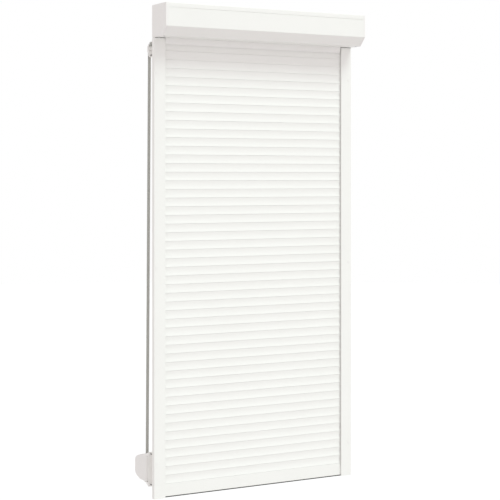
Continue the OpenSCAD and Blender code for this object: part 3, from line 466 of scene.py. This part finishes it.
# %% Finishes: bearing steel and spring steel
ground_steel, tree, shader = finish("ground_steel", metallic=1.0)
marks = use(tree, lines, Stretch=(1500.0, 40.0, 40.0))
polish = blend_colours(tree, marks.outputs["Shade"], (0.52, 0.54, 0.56, 1), (0.7, 0.71, 0.72, 1))
grain = use(tree, skin, Scale=700.0, Smoothest=0.18, Roughest=0.3)
feed(tree, shader, polish, grain.outputs["Roughness"])
emboss(tree, shader, marks.outputs["Height"], strength=0.1, distance=0.00005)
blued, tree, shader = finish("blued_strip", metallic=1.0)
marks = use(tree, lines, Stretch=(900.0, 6.0, 6.0))
temper = blend_colours(tree, marks.outputs["Shade"], (0.16, 0.18, 0.23, 1), (0.38, 0.4, 0.45, 1))
grain = use(tree, skin, Scale=500.0, Smoothest=0.26, Roughest=0.4)
feed(tree, shader, temper, grain.outputs["Roughness"])
emboss(tree, shader, marks.outputs["Height"], strength=0.1, distance=0.00005)
print("made", ground_steel.name, "and", blued.name)

# %% [markdown]
# The screws that hold the strap guide and the winder's bracket show as dark dots from the street. They are
# burnished: a dull dark grey, with bright worn spots on the crests of the grain.

# %% Finish: burnished steel
burnished, tree, shader = finish("burnished_steel", metallic=1.0)
grain = use(tree, skin, Scale=900.0, Smoothest=0.4, Roughest=0.62)
worn = blend_colours(tree, grain.outputs["Height"], (0.07, 0.067, 0.062, 1), (0.22, 0.215, 0.205, 1))
feed(tree, shader, worn, grain.outputs["Roughness"])
emboss(tree, shader, grain.outputs["Height"], strength=0.2, distance=0.00006)
print("made", burnished.name)

# %% [markdown]
# The record names a finish for each node, so one table is enough to dress all the pieces that keep their
# solid.

# %% Dress the nodes
finishes = {
    "white_aluminium": powder_coat, "white_slat": slat_white, "white_plastic": moulded,
    "grey_plastic": dark_moulded, "white_steel": lacquer, "grey_strap": webbing, "seal_rubber": rubber,
    "brush_pile": yarn, "zinc_steel": zinc, "bearing_steel": ground_steel, "spring_steel": blued}
for part in frame["record"]["subparts"]:
    piece = nodes[part["node"]]
    if not piece.material_slots:
        piece.data.materials.append(None)
    for dress in piece.material_slots:
        dress.material = finishes[part["material_slot"]]

# %% [markdown]
# ## The floor
# The shutter hangs on a wall, so the floor lies well below the sill and out of the picture. It is white to
# the camera and to mirrors, and a mid grey to the light that bounces up, which keeps the box's underside in
# tone.

# %% Floor
FLOOR_Z, FLOOR_RADIUS = -1.9, 24
BOUNCED_TONE, SEEN_TONE = (0.705, 0.66, 0.67, 1), (0.97, 0.96, 0.97, 1)
floor_white, tree, shader = finish("floor_white", roughness=0.9)
rays = tree.nodes.new("ShaderNodeLightPath")
direct = maths(tree, "MAXIMUM", rays.outputs["Is Camera Ray"], rays.outputs["Is Glossy Ray"])
direct = maths(tree, "MAXIMUM", direct, rays.outputs["Is Transmission Ray"])
tree.links.new(blend_colours(tree, direct, BOUNCED_TONE, SEEN_TONE), shader.inputs["Base Color"])
shader.inputs["Specular IOR Level"].default_value = 0.0
disc = bmesh.new()
bmesh.ops.create_circle(disc, cap_ends=True, segments=96, radius=FLOOR_RADIUS)
floor_mesh = bpy.data.meshes.new("floor")
disc.to_mesh(floor_mesh)
disc.free()
floor = bpy.data.objects.new("floor", floor_mesh)
floor.location = (0, 0, FLOOR_Z)
floor_mesh.materials.append(floor_white)
scene.collection.objects.link(floor)
print("floor at", floor.location.z)

# %% [markdown]
# ## The strap
# The pull strap is a flat band of webbing, 14 mm wide. It winds on the pulley in the box, runs through the
# window frame and over the guide roller, falls to the winder, and winds up there. Its whole way lies in one
# upright plane, so a point of it is a pair of millimetres: towards the room, and up. Three helpers draw the
# arcs round a corner, the spirals and the straight stretches.

# %% Helpers for the route
MM = 0.001


def corner_arc(before, corner, after, radius, steps):
    u = (Vector(before) - Vector(corner)).normalized()
    v = (Vector(after) - Vector(corner)).normalized()
    half = u.angle(v) / 2
    centre = Vector(corner) + (u + v).normalized() * radius / math.sin(half)
    start = Vector(corner) + u * radius / math.tan(half) - centre
    end = Vector(corner) + v * radius / math.tan(half) - centre
    sweep = math.atan2(start.x * end.y - start.y * end.x, start.dot(end))
    return [centre + Matrix.Rotation(sweep * k / steps, 2) @ start for k in range(steps + 1)]


def spiral(centre, first, last, angle, turns, steps=48):
    count = round(steps * turns)
    return [Vector(centre) + (first + (last - first) * k / count)
            * Vector((math.cos(angle + 2 * math.pi * turns * k / count),
                      math.sin(angle + 2 * math.pi * turns * k / count))) for k in range(count + 1)]


def straight(first, last, step=12.0):
    count = max(1, round((Vector(last) - Vector(first)).length / step))
    return [Vector(first).lerp(Vector(last), k / count) for k in range(count + 1)]


print("route helpers ready")

# %% [markdown]
# The corners and radii are those of the CAD model's strap, so the new webbing lies where the plain solid
# is. The route is parted where the strap passes from one moving body to the next: the winding turns with
# the roller, the run stays, the lead swivels with the winder, and the coil turns with the spool.

# %% Route of the strap
SHAFT, TOUCH = Vector((-68.5, 1050.0)), Vector((-80.2768, 1013.29))
SPOOL, COIL_TOUCH = Vector((150.1, -869.75)), Vector((117.053, -881.579))
START, LIP, BEND, FOOT = (-69.3473, 1009.79), (-3.0, 988.5), (67.5, 944.5), (90.5, -806.6)
LEAD_START, LEAD_END = (90.5, -807.4), (113.361, -871.265)
LIP_RADIUS, BEND_RADIUS = 25.0, 9.05
WINDING_INNER, WINDING_OUTER, WINDING_TURNS = 25.05, 38.55, 7.5
COIL_OUTER, COIL_INNER, COIL_TURNS = 35.1, 31.05, 2.25
over_lip = corner_arc(START, LIP, BEND, LIP_RADIUS, steps=10)
over_roller = corner_arc(LIP, BEND, FOOT, BEND_RADIUS, steps=14)
run_line = straight(START, over_lip[0])[:-1] + over_lip
run_line += straight(over_lip[-1], over_roller[0])[1:-1] + over_roller
run_line += straight(over_roller[-1], FOOT)[1:]
lead_line = straight(LEAD_START, LEAD_END)
winding_angle = math.atan2(*(TOUCH - SHAFT).yx) - 2 * math.pi * WINDING_TURNS
winding_line = spiral(SHAFT, WINDING_INNER, WINDING_OUTER, winding_angle, WINDING_TURNS)
coil_angle = math.atan2(*(COIL_TOUCH - SPOOL).yx)
coil_line = spiral(SPOOL, COIL_OUTER, COIL_INNER, coil_angle, COIL_TURNS)
print("route points:", len(run_line), len(lead_line), len(winding_line), len(coil_line))

# %% [markdown]
# Most new pieces are drawn as lists of points and faces. This helper turns them into a mesh in metres,
# gives it its finish, and lets bmesh point all the faces outwards, so that no piece has to care for their
# order.

# %% Add a piece
def add_piece(name, points, faces, material, uvs=None):
    mesh = bpy.data.meshes.new(name)
    mesh.from_pydata([Vector(p) * MM for p in points], [], faces)
    if uvs:
        layer = mesh.uv_layers.new(name="metres")
        for loop in mesh.loops:
            layer.data[loop.index].uv = uvs[loop.vertex_index]
    mesh.materials.append(material)
    mesh.validate()
    shell = bmesh.new()
    shell.from_mesh(mesh)
    bmesh.ops.recalc_face_normals(shell, faces=shell.faces)
    shell.to_mesh(mesh)
    shell.free()
    piece = bpy.data.objects.new(name, mesh)
    scene.collection.objects.link(piece)
    return piece


print("piece helper ready")

# %% [markdown]
# Webbing is not a plain strip: its two selvedges are round. The section goes once round the band, with
# three points on each quarter of an edge and two more on each flat side.

# %% Section of the band
STRAP_X, STRAP_WIDTH, STRAP_THICK, SELVEDGE = -480.0, 14.0, 1.3, 0.45


def band_section():
    half, thick = STRAP_WIDTH / 2, STRAP_THICK / 2
    round_edge = [(half - SELVEDGE + SELVEDGE * math.sin(a), thick - SELVEDGE + SELVEDGE * math.cos(a))
                  for a in (0, math.pi / 4, math.pi / 2)]
    upper = [(-half / 3, thick), (half / 3, thick)] + round_edge
    lower = [(x, -y) for x, y in reversed(round_edge)] + [(half / 3, -thick), (-half / 3, -thick)]
    left = [(-x, -y) for x, y in round_edge] + [(-x, y) for x, y in reversed(round_edge)]
    return upper + lower + left


print("band section:", len(band_section()), "corners")

# %% [markdown]
# A curve with a bevel would twist the flat band at the bends. Instead the section is set square to the
# route at each of its points and the rings are joined. The UV map keeps the metres across and along for the
# weave.

# %% Sweep the webbing
def webbing_along(name, line, body):
    section = band_section()
    points, uvs, faces = [], [], []
    length = 0.0
    for k, here in enumerate(line):
        ahead = line[min(k + 1, len(line) - 1)] - line[max(k - 1, 0)]
        normal = Vector((-ahead.y, ahead.x)).normalized()
        if k:
            length += (here - line[k - 1]).length
        for x, t in section:
            at = here + normal * t
            points.append((STRAP_X + x, at.x, at.y))
            uvs.append((x * MM, length * MM))
    n = len(section)
    for k in range(len(line) - 1):
        for i in range(n):
            j = (i + 1) % n
            faces.append((k * n + i, k * n + j, (k + 1) * n + j, (k + 1) * n + i))
    faces += [tuple(reversed(range(n))), tuple((len(line) - 1) * n + i for i in range(n))]
    piece = add_piece(name, points, faces, webbing, uvs)
    piece.data.shade_smooth()
    piece.data.set_sharp_from_angle(angle=math.radians(50))
    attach(piece, body)
    print(name, round(length), "mm of webbing,", len(points), "points")
    return piece


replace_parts(webbing_along("pull_strap", run_line, "frame"), "strap_run")
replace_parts(webbing_along("strap_on_pulley", winding_line, "roller"), "strap_winding")
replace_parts(webbing_along("strap_into_winder", lead_line, "winder"), "strap_lead")
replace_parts(webbing_along("strap_on_spool", coil_line, "spool"), "strap_coil")

# %% [markdown]
# ## Brushes in the rails
# On both sides of the curtain a strip of pile sits in a groove of the rail and keeps the slats from
# rattling. A flat foot slides into the groove, and short tufts stand on it in three rows. Each tuft leans
# and splays by its own seeded amount, and all four strips are one mesh.

# %% One brush strip
RAIL_MOUTH, CURTAIN_Y = 447.0, -9.0
RAIL_LOW, RAIL_HIGH = (corner[2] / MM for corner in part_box("rail_brushes"))
FOOT_FROM_MOUTH, FOOT_WIDTH, FOOT_OUT, FOOT_IN = 2.15, 4.4, 7.65, 6.65
TUFT_ROWS, TUFT_STEP, TUFT_HALF, TUFT_SINK = (1.35, 2.2, 3.05), 2.6, 0.3, 0.2
TIP, TIP_SPREAD, LEAN, SPLAY, END_ROOM = 4.85, 0.45, 0.5, (0.25, 0.45), 1.5
BLOCK = ((0, 1, 5, 4), (1, 2, 6, 5), (2, 3, 7, 6), (3, 0, 4, 7), (3, 2, 1, 0), (4, 5, 6, 7))


def brush_strip(side, face, points, faces):
    draw = random.Random(7 + 2 * side + face)
    start = RAIL_MOUTH + FOOT_FROM_MOUTH
    base = len(points)
    for z in (RAIL_LOW, RAIL_HIGH):
        points += [(side * (start + x), CURTAIN_Y + face * y, z)
                   for x, y in ((0, FOOT_OUT), (FOOT_WIDTH, FOOT_OUT), (FOOT_WIDTH, FOOT_IN), (0, FOOT_IN))]
    faces += [tuple(base + i for i in f) for f in BLOCK]
    z = RAIL_LOW + END_ROOM
    while z < RAIL_HIGH - END_ROOM:
        for row in TUFT_ROWS:
            base = len(points)
            lean = draw.uniform(-LEAN, LEAN)
            splay = draw.uniform(*SPLAY)
            tip = TIP + draw.uniform(0.0, TIP_SPREAD)
            for y, half, shift in ((FOOT_IN + TUFT_SINK, TUFT_HALF, 0.0), (tip, splay, lean)):
                points += [(side * (start + row + a * half), CURTAIN_Y + face * y, z + shift + b * half)
                           for a, b in ((-1, -1), (1, -1), (1, 1), (-1, 1))]
            faces += [tuple(base + i for i in f) for f in BLOCK]
        z += TUFT_STEP


print("brushes from", round(RAIL_LOW, 2), "to", round(RAIL_HIGH, 2), "mm")

# %% Brush strips
points, faces = [], []
for side in (-1, 1):
    for face in (-1, 1):
        brush_strip(side, face, points, faces)
brushes = add_piece("brush_strips", points, faces, yarn)
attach(brushes, "frame")
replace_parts(brushes, "rail_brushes")
print("brush strips:", len(faces), "faces")

# %% [markdown]
# ## Lips and strips
# Lips and the dark strips of painted shade are profiles: one outline, the same all along. A curve with a
# bevel object could draw them, but an outline joined to its copy at the other end is as short, and gives a
# closed mesh at once.

# %% Helpers for outlines
def between(name, first, last, material):
    count = len(first)
    faces = [(i, (i + 1) % count, count + (i + 1) % count, count + i) for i in range(count)]
    faces += [tuple(reversed(range(count))), tuple(range(count, 2 * count))]
    return add_piece(name, first + last, faces, material)


def drawn_along(name, outline, ends, material):
    first, last = ([(x, y, z) for y, z in outline] for x in ends)
    return between(name, first, last, material)


print("outline helpers ready")

# %% [markdown]
# Between the cover's rear edge and the curtain is a slot, and nothing dark shows there from the street. A
# soft lip, stuck to the cover's hem, closes it. It hangs in front of the curtain in a slight belly, thins
# towards its edge, and stops just short of the slats that slide past.

# %% Slot lip
SLOT_AIR, SLOT_DROP, LEFT_ROOM, RIGHT_ROOM = 0.45, 27.0, 1.5, 4.0
LIP_BACK, LIP_HEAD, LIP_FOLD, LIP_STEPS = 0.6, 5.6, 0.8, 8
LIP_HALF, LIP_TAPER, LIP_EDGE = 0.5, 0.025, 0.3
BELLY_BACK, BELLY_DROP = 1.5, 15.0
cover_low, cover_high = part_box("inspection_cover")
hem_y, hem_z = cover_high.y / MM, cover_low.z / MM
curtain = [name for name in nodes if name.startswith(("slats_", "bottom_bar"))]
curtain_face = min(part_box(name)[0].y for name in curtain) / MM
head, fold = (Vector((hem_y + LIP_BACK, hem_z + up)) for up in (LIP_HEAD, LIP_FOLD))
belly = Vector((hem_y + BELLY_BACK, hem_z - BELLY_DROP))
edge = Vector((curtain_face - SLOT_AIR - LIP_EDGE, hem_z - SLOT_DROP))
middle = [head]
for t in (k / LIP_STEPS for k in range(LIP_STEPS + 1)):
    middle.append(fold.lerp(belly, t).lerp(belly.lerp(edge, t), t))
front, back = [], []
for k, here in enumerate(middle):
    ahead = (middle[min(k + 1, len(middle) - 1)] - middle[max(k - 1, 0)]).normalized()
    half = (LIP_HALF - LIP_TAPER * k) * Vector((ahead.y, -ahead.x))
    front.append(here + half)
    back.append(here - half)
slot_ends = (LEFT_ROOM - RAIL_MOUTH, RAIL_MOUTH - RIGHT_ROOM)
slot_lip = drawn_along("slot_lip", front + back[::-1], slot_ends, soft_white)
slot_lip.data.shade_smooth()
slot_lip.data.set_sharp_from_angle(angle=math.radians(40))
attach(slot_lip, "frame")
lip_reach = max(y for y, z in front + back)
print("slot lip from", round(hem_y, 2), "to", round(lip_reach, 2), "mm, curtain at", round(curtain_face, 2))

# %% [markdown]
# The box stands on the rails with two millimetres of air, which the end caps' pins bridge. A thin cord of
# black rubber is put in that gap on the front wall of each rail, a little squeezed: a dark strip as painted
# shade for the gap.

# %% Rail strips of painted shade
SHADE_STRIP_DEPTH, SHADE_STRIP_INSET, SHADE_STRIP_BULGE, SHADE_STRIP_STEPS = 1.05, 0.4, 0.25, 6
SHADE_STRIP_AIR, LEFT_END, RIGHT_END = 0.1, 494.5, 498.5
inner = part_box("inlet_guides")[1].x / MM + SHADE_STRIP_AIR
for rail, side, outer in (("left", -1, LEFT_END), ("right", 1, RIGHT_END)):
    low, high = (Vector(corner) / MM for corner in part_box(rail + "_guide_rail"))
    front_y, foot_z = low.y + SHADE_STRIP_INSET, high.z
    outline = [(front_y + SHADE_STRIP_DEPTH, foot_z), (front_y + SHADE_STRIP_DEPTH, hem_z)]
    for up in (1 - k / SHADE_STRIP_STEPS for k in range(SHADE_STRIP_STEPS + 1)):
        outline.append((front_y - SHADE_STRIP_BULGE * math.sin(math.pi * up), foot_z + (hem_z - foot_z) * up))
    # painted shade: a black strip that draws the shadow of the gap between box and rail
    shade_strip = drawn_along(rail + "_rail_shade_strip", outline, sorted((side * inner, side * outer)), rubber)
    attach(shade_strip, "frame")
    print(shade_strip.name, round(outer - inner, 1), "mm long,", round(hem_z - foot_z, 2), "mm high")

# %% [markdown]
# The bottom bar closes on the sill with a rubber profile: a T-shaped foot in the bar's groove, and a lip
# with two ridges that take up an uneven sill.

# %% Sill lip
BAR_LOW, LIP_END = -976.5, 466.6
right_half = [(1.7, -3.4), (2.1, -4.2), (2.9, -4.65), (3.7, -4.2), (4.1, -3.2), (4.1, -0.15), (1.35, -0.15),
              (1.35, 2.15), (3.05, 2.15), (3.05, 5.25)]
outline = [(-y, z) for y, z in reversed(right_half)] + right_half
seal_outline = [(CURTAIN_Y + y, BAR_LOW + z) for y, z in outline]
rubber_lip = drawn_along("sill_lip", seal_outline, (-LIP_END, LIP_END), rubber)
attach(rubber_lip, "curtain_01")
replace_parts(rubber_lip, "bottom_seal")
print("sill lip:", len(outline), "corners in its outline")

# %% [markdown]
# ## Round the guide roller
# Under the guide roller a bare slit would show the strap behind it as a dark line. A small tongue of the
# same plastic stands on the back of the guide's plate, between the roller's flanges, and closes the slit to
# a hair.

# %% Draught lip
ROLLER_BODY, ROLLER_FLANGE, PLATE_THICK = 8.0, 0.9, 1.5
TONGUE_THICK, TONGUE_FOOT, TONGUE_AIR, TONGUE_SIDE, TONGUE_BEVEL = 1.2, 3.0, 0.2, 0.6, 0.35
low, high = (Vector(corner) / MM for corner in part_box("guide_roller"))
axis_z = (low.z + high.z) / 2
plate_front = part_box("strap_guide")[0].y / MM
plate_back = plate_front + PLATE_THICK
tongue_back = plate_back + TONGUE_THICK
tongue_low, tongue_top = low.z - TONGUE_FOOT, axis_z - ROLLER_BODY - TONGUE_AIR
tongue = [(plate_back, tongue_low), (tongue_back, tongue_low), (tongue_back, tongue_top - TONGUE_BEVEL),
          (tongue_back - TONGUE_BEVEL, tongue_top), (plate_back + TONGUE_BEVEL, tongue_top),
          (plate_back, tongue_top - TONGUE_BEVEL)]
tongue_ends = (low.x + ROLLER_FLANGE + TONGUE_SIDE, high.x - ROLLER_FLANGE - TONGUE_SIDE)
draught_lip = drawn_along("draught_lip", tongue, tongue_ends, moulded)
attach(draught_lip, "frame")
print("draught lip up to", round(tongue_top, 2), "mm, under the axis at", round(axis_z, 2))

# %% [markdown]
# Over the roller a bar spans the window of the plate, just under the strap. It wipes the strap when it
# comes in wet, and its tongue reaches down between the roller's flanges. Its outline lies upright, so it is
# joined from the street side to the room side.

# %% Strap wiper
WIPER_HALF, WIPER_TONGUE, WIPER_THICK, WIPER_BEVEL = 8.75, 6.8, 1.2, 0.4
WIPER_TOP, WIPER_STEP, WIPER_LOW = 11.25, 9.95, 7.95
right_half = [(WIPER_TONGUE - WIPER_BEVEL, WIPER_LOW), (WIPER_TONGUE, WIPER_LOW + WIPER_BEVEL),
              (WIPER_TONGUE, WIPER_STEP - WIPER_BEVEL), (WIPER_TONGUE + WIPER_BEVEL, WIPER_STEP),
              (WIPER_HALF, WIPER_STEP), (WIPER_HALF, WIPER_TOP)]
outline = right_half + [(-x, z) for x, z in reversed(right_half)]
street, room = ([(STRAP_X + x, y, axis_z + z) for x, z in outline]
                for y in (plate_front, plate_front + WIPER_THICK))
wiper = between("strap_wiper", street, room, moulded)
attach(wiper, "frame")
print("strap wiper up to", round(axis_z + WIPER_TOP, 2), "mm,", len(outline), "corners")

# %% [markdown]
# ## Screws
# A screw is turned, not cut from a cube: a round head with a slight crown, and a tapered shank. Its rings
# are lathed from pairs of radius and height.

# %% Helpers for turned shapes
def lathe(rings, sides=28):
    shape = bmesh.new()
    circle = [(math.cos(2 * math.pi * k / sides), math.sin(2 * math.pi * k / sides)) for k in range(sides)]
    loops = [[shape.verts.new((r * c, r * s, h)) for c, s in circle] for r, h in rings]
    for low, high in zip(loops, loops[1:]):
        for k in range(sides):
            shape.faces.new((low[k], low[(k + 1) % sides], high[(k + 1) % sides], high[k]))
    shape.faces.new(list(reversed(loops[0])))
    shape.faces.new(loops[-1])
    return shape


def to_object(shape, name):
    mesh = bpy.data.meshes.new(name)
    shape.to_mesh(mesh)
    shape.free()
    made = bpy.data.objects.new(name, mesh)
    scene.collection.objects.link(made)
    return made


print("lathe ready")

# %% [markdown]
# The cross recess is cut with two crossed wedges that narrow downwards. A boolean does it exactly, and its
# result is taken as a plain mesh, so no modifier is left.

# %% Make a screw
def screw_mesh(head, crown, shank, length):
    rings = [(shank * 0.25, -length), (shank, -length + 2.5 * shank), (shank, 0.0), (head * 0.94, 0.0),
             (head, crown * 0.2), (head, crown * 0.45), (head * 0.9, crown * 0.75),
             (head * 0.65, crown * 0.94), (head * 0.3, crown)]
    body = to_object(lathe(rings), "screw_body")
    cross = bmesh.new()
    for turn in (0, math.pi / 2):
        wedge = bmesh.ops.create_cube(cross, size=1.0)["verts"]
        for v in wedge:
            low = v.co.z < 0
            v.co = Vector((v.co.x * head * (0.75 if low else 1.15), v.co.y * head * 0.2,
                           crown * (0.35 if low else 1.3)))
            v.co.rotate(Matrix.Rotation(turn, 3, "Z"))
    cutter = to_object(cross, "screw_cross")
    cut = body.modifiers.new("recess", "BOOLEAN")
    cut.object = cutter
    cut.operation = "DIFFERENCE"
    cut.solver = "EXACT"
    cut.use_self = True
    made = bpy.data.meshes.new_from_object(body.evaluated_get(bpy.context.evaluated_depsgraph_get()))
    bpy.data.objects.remove(body)
    bpy.data.objects.remove(cutter)
    return made


print("screw helper ready")

# %% [markdown]
# Screws of one kind share a pattern. Each copy is turned on by a step, because no fitter leaves all the
# crosses upright, and a whole set becomes one piece.

# %% Make a set
FIRST_SPIN, NEXT_SPIN = 0.5, 0.8


def set_of_screws(name, places, axis, sizes, material, body):
    pattern = screw_mesh(*sizes)
    turn = Vector(axis).to_track_quat("Z", "Y").to_matrix().to_4x4()
    joined = bmesh.new()
    for k, place in enumerate(places):
        spun = pattern.copy()
        spin = Matrix.Rotation(FIRST_SPIN + NEXT_SPIN * k, 4, "Z")
        spun.transform(Matrix.Scale(MM, 4) @ Matrix.Translation(place) @ turn @ spin)
        joined.from_mesh(spun)
        bpy.data.meshes.remove(spun)
    piece = to_object(joined, name)
    bpy.data.meshes.remove(pattern)
    piece.data.shade_smooth()
    piece.data.set_sharp_from_angle(angle=math.radians(35))
    piece.data.materials.append(material)
    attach(piece, body)
    print(name, len(places), "screws,", len(piece.data.polygons), "faces")
    return piece


print("set helper ready")

# %% [markdown]
# Two screws at each end hold the cover under the box, and four join the winder's halves. They replace their
# plain solids. Four more, burnished, fix the strap guide and the winder's bracket to the window frame. The
# sizes of a screw are its head's radius and crown, and its shank's radius and length.

# %% Place the screws
COVER_SIZES, WINDER_SIZES, FIXING_SIZES = (3.8, 2.0, 1.45, 6.8), (2.9, 1.7, 1.4, 15.0), (3.9, 1.9, 1.9, 16.0)
cover_places = [(s * 483.5, y, 981.35) for s in (-1, 1) for y in (-86.0, -35.0)]
cover_set = set_of_screws("cover_screw_set", cover_places, (0, 0, -1), COVER_SIZES, zinc, "frame")
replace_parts(cover_set, "cover_screws")
winder_corners = ((84.0, -915.5), (84.0, -822.5), (125.5, -822.5), (125.5, -915.5))
winder_places = [(-471.2, y, z) for y, z in winder_corners]
winder_set = set_of_screws("winder_screw_set", winder_places, (1, 0, 0), WINDER_SIZES, zinc, "winder")
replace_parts(winder_set, "winder_screws")
guide_places = [(STRAP_X, 55.55, z) for z in (962.0, 911.0)]
bracket_places = [(STRAP_X, 56.55, z) for z in (-802.6, -934.4)]
set_of_screws("fixing_screw_set", guide_places + bracket_places, (0, 1, 0), FIXING_SIZES, burnished, "frame")

# %% [markdown]
# ## Finish
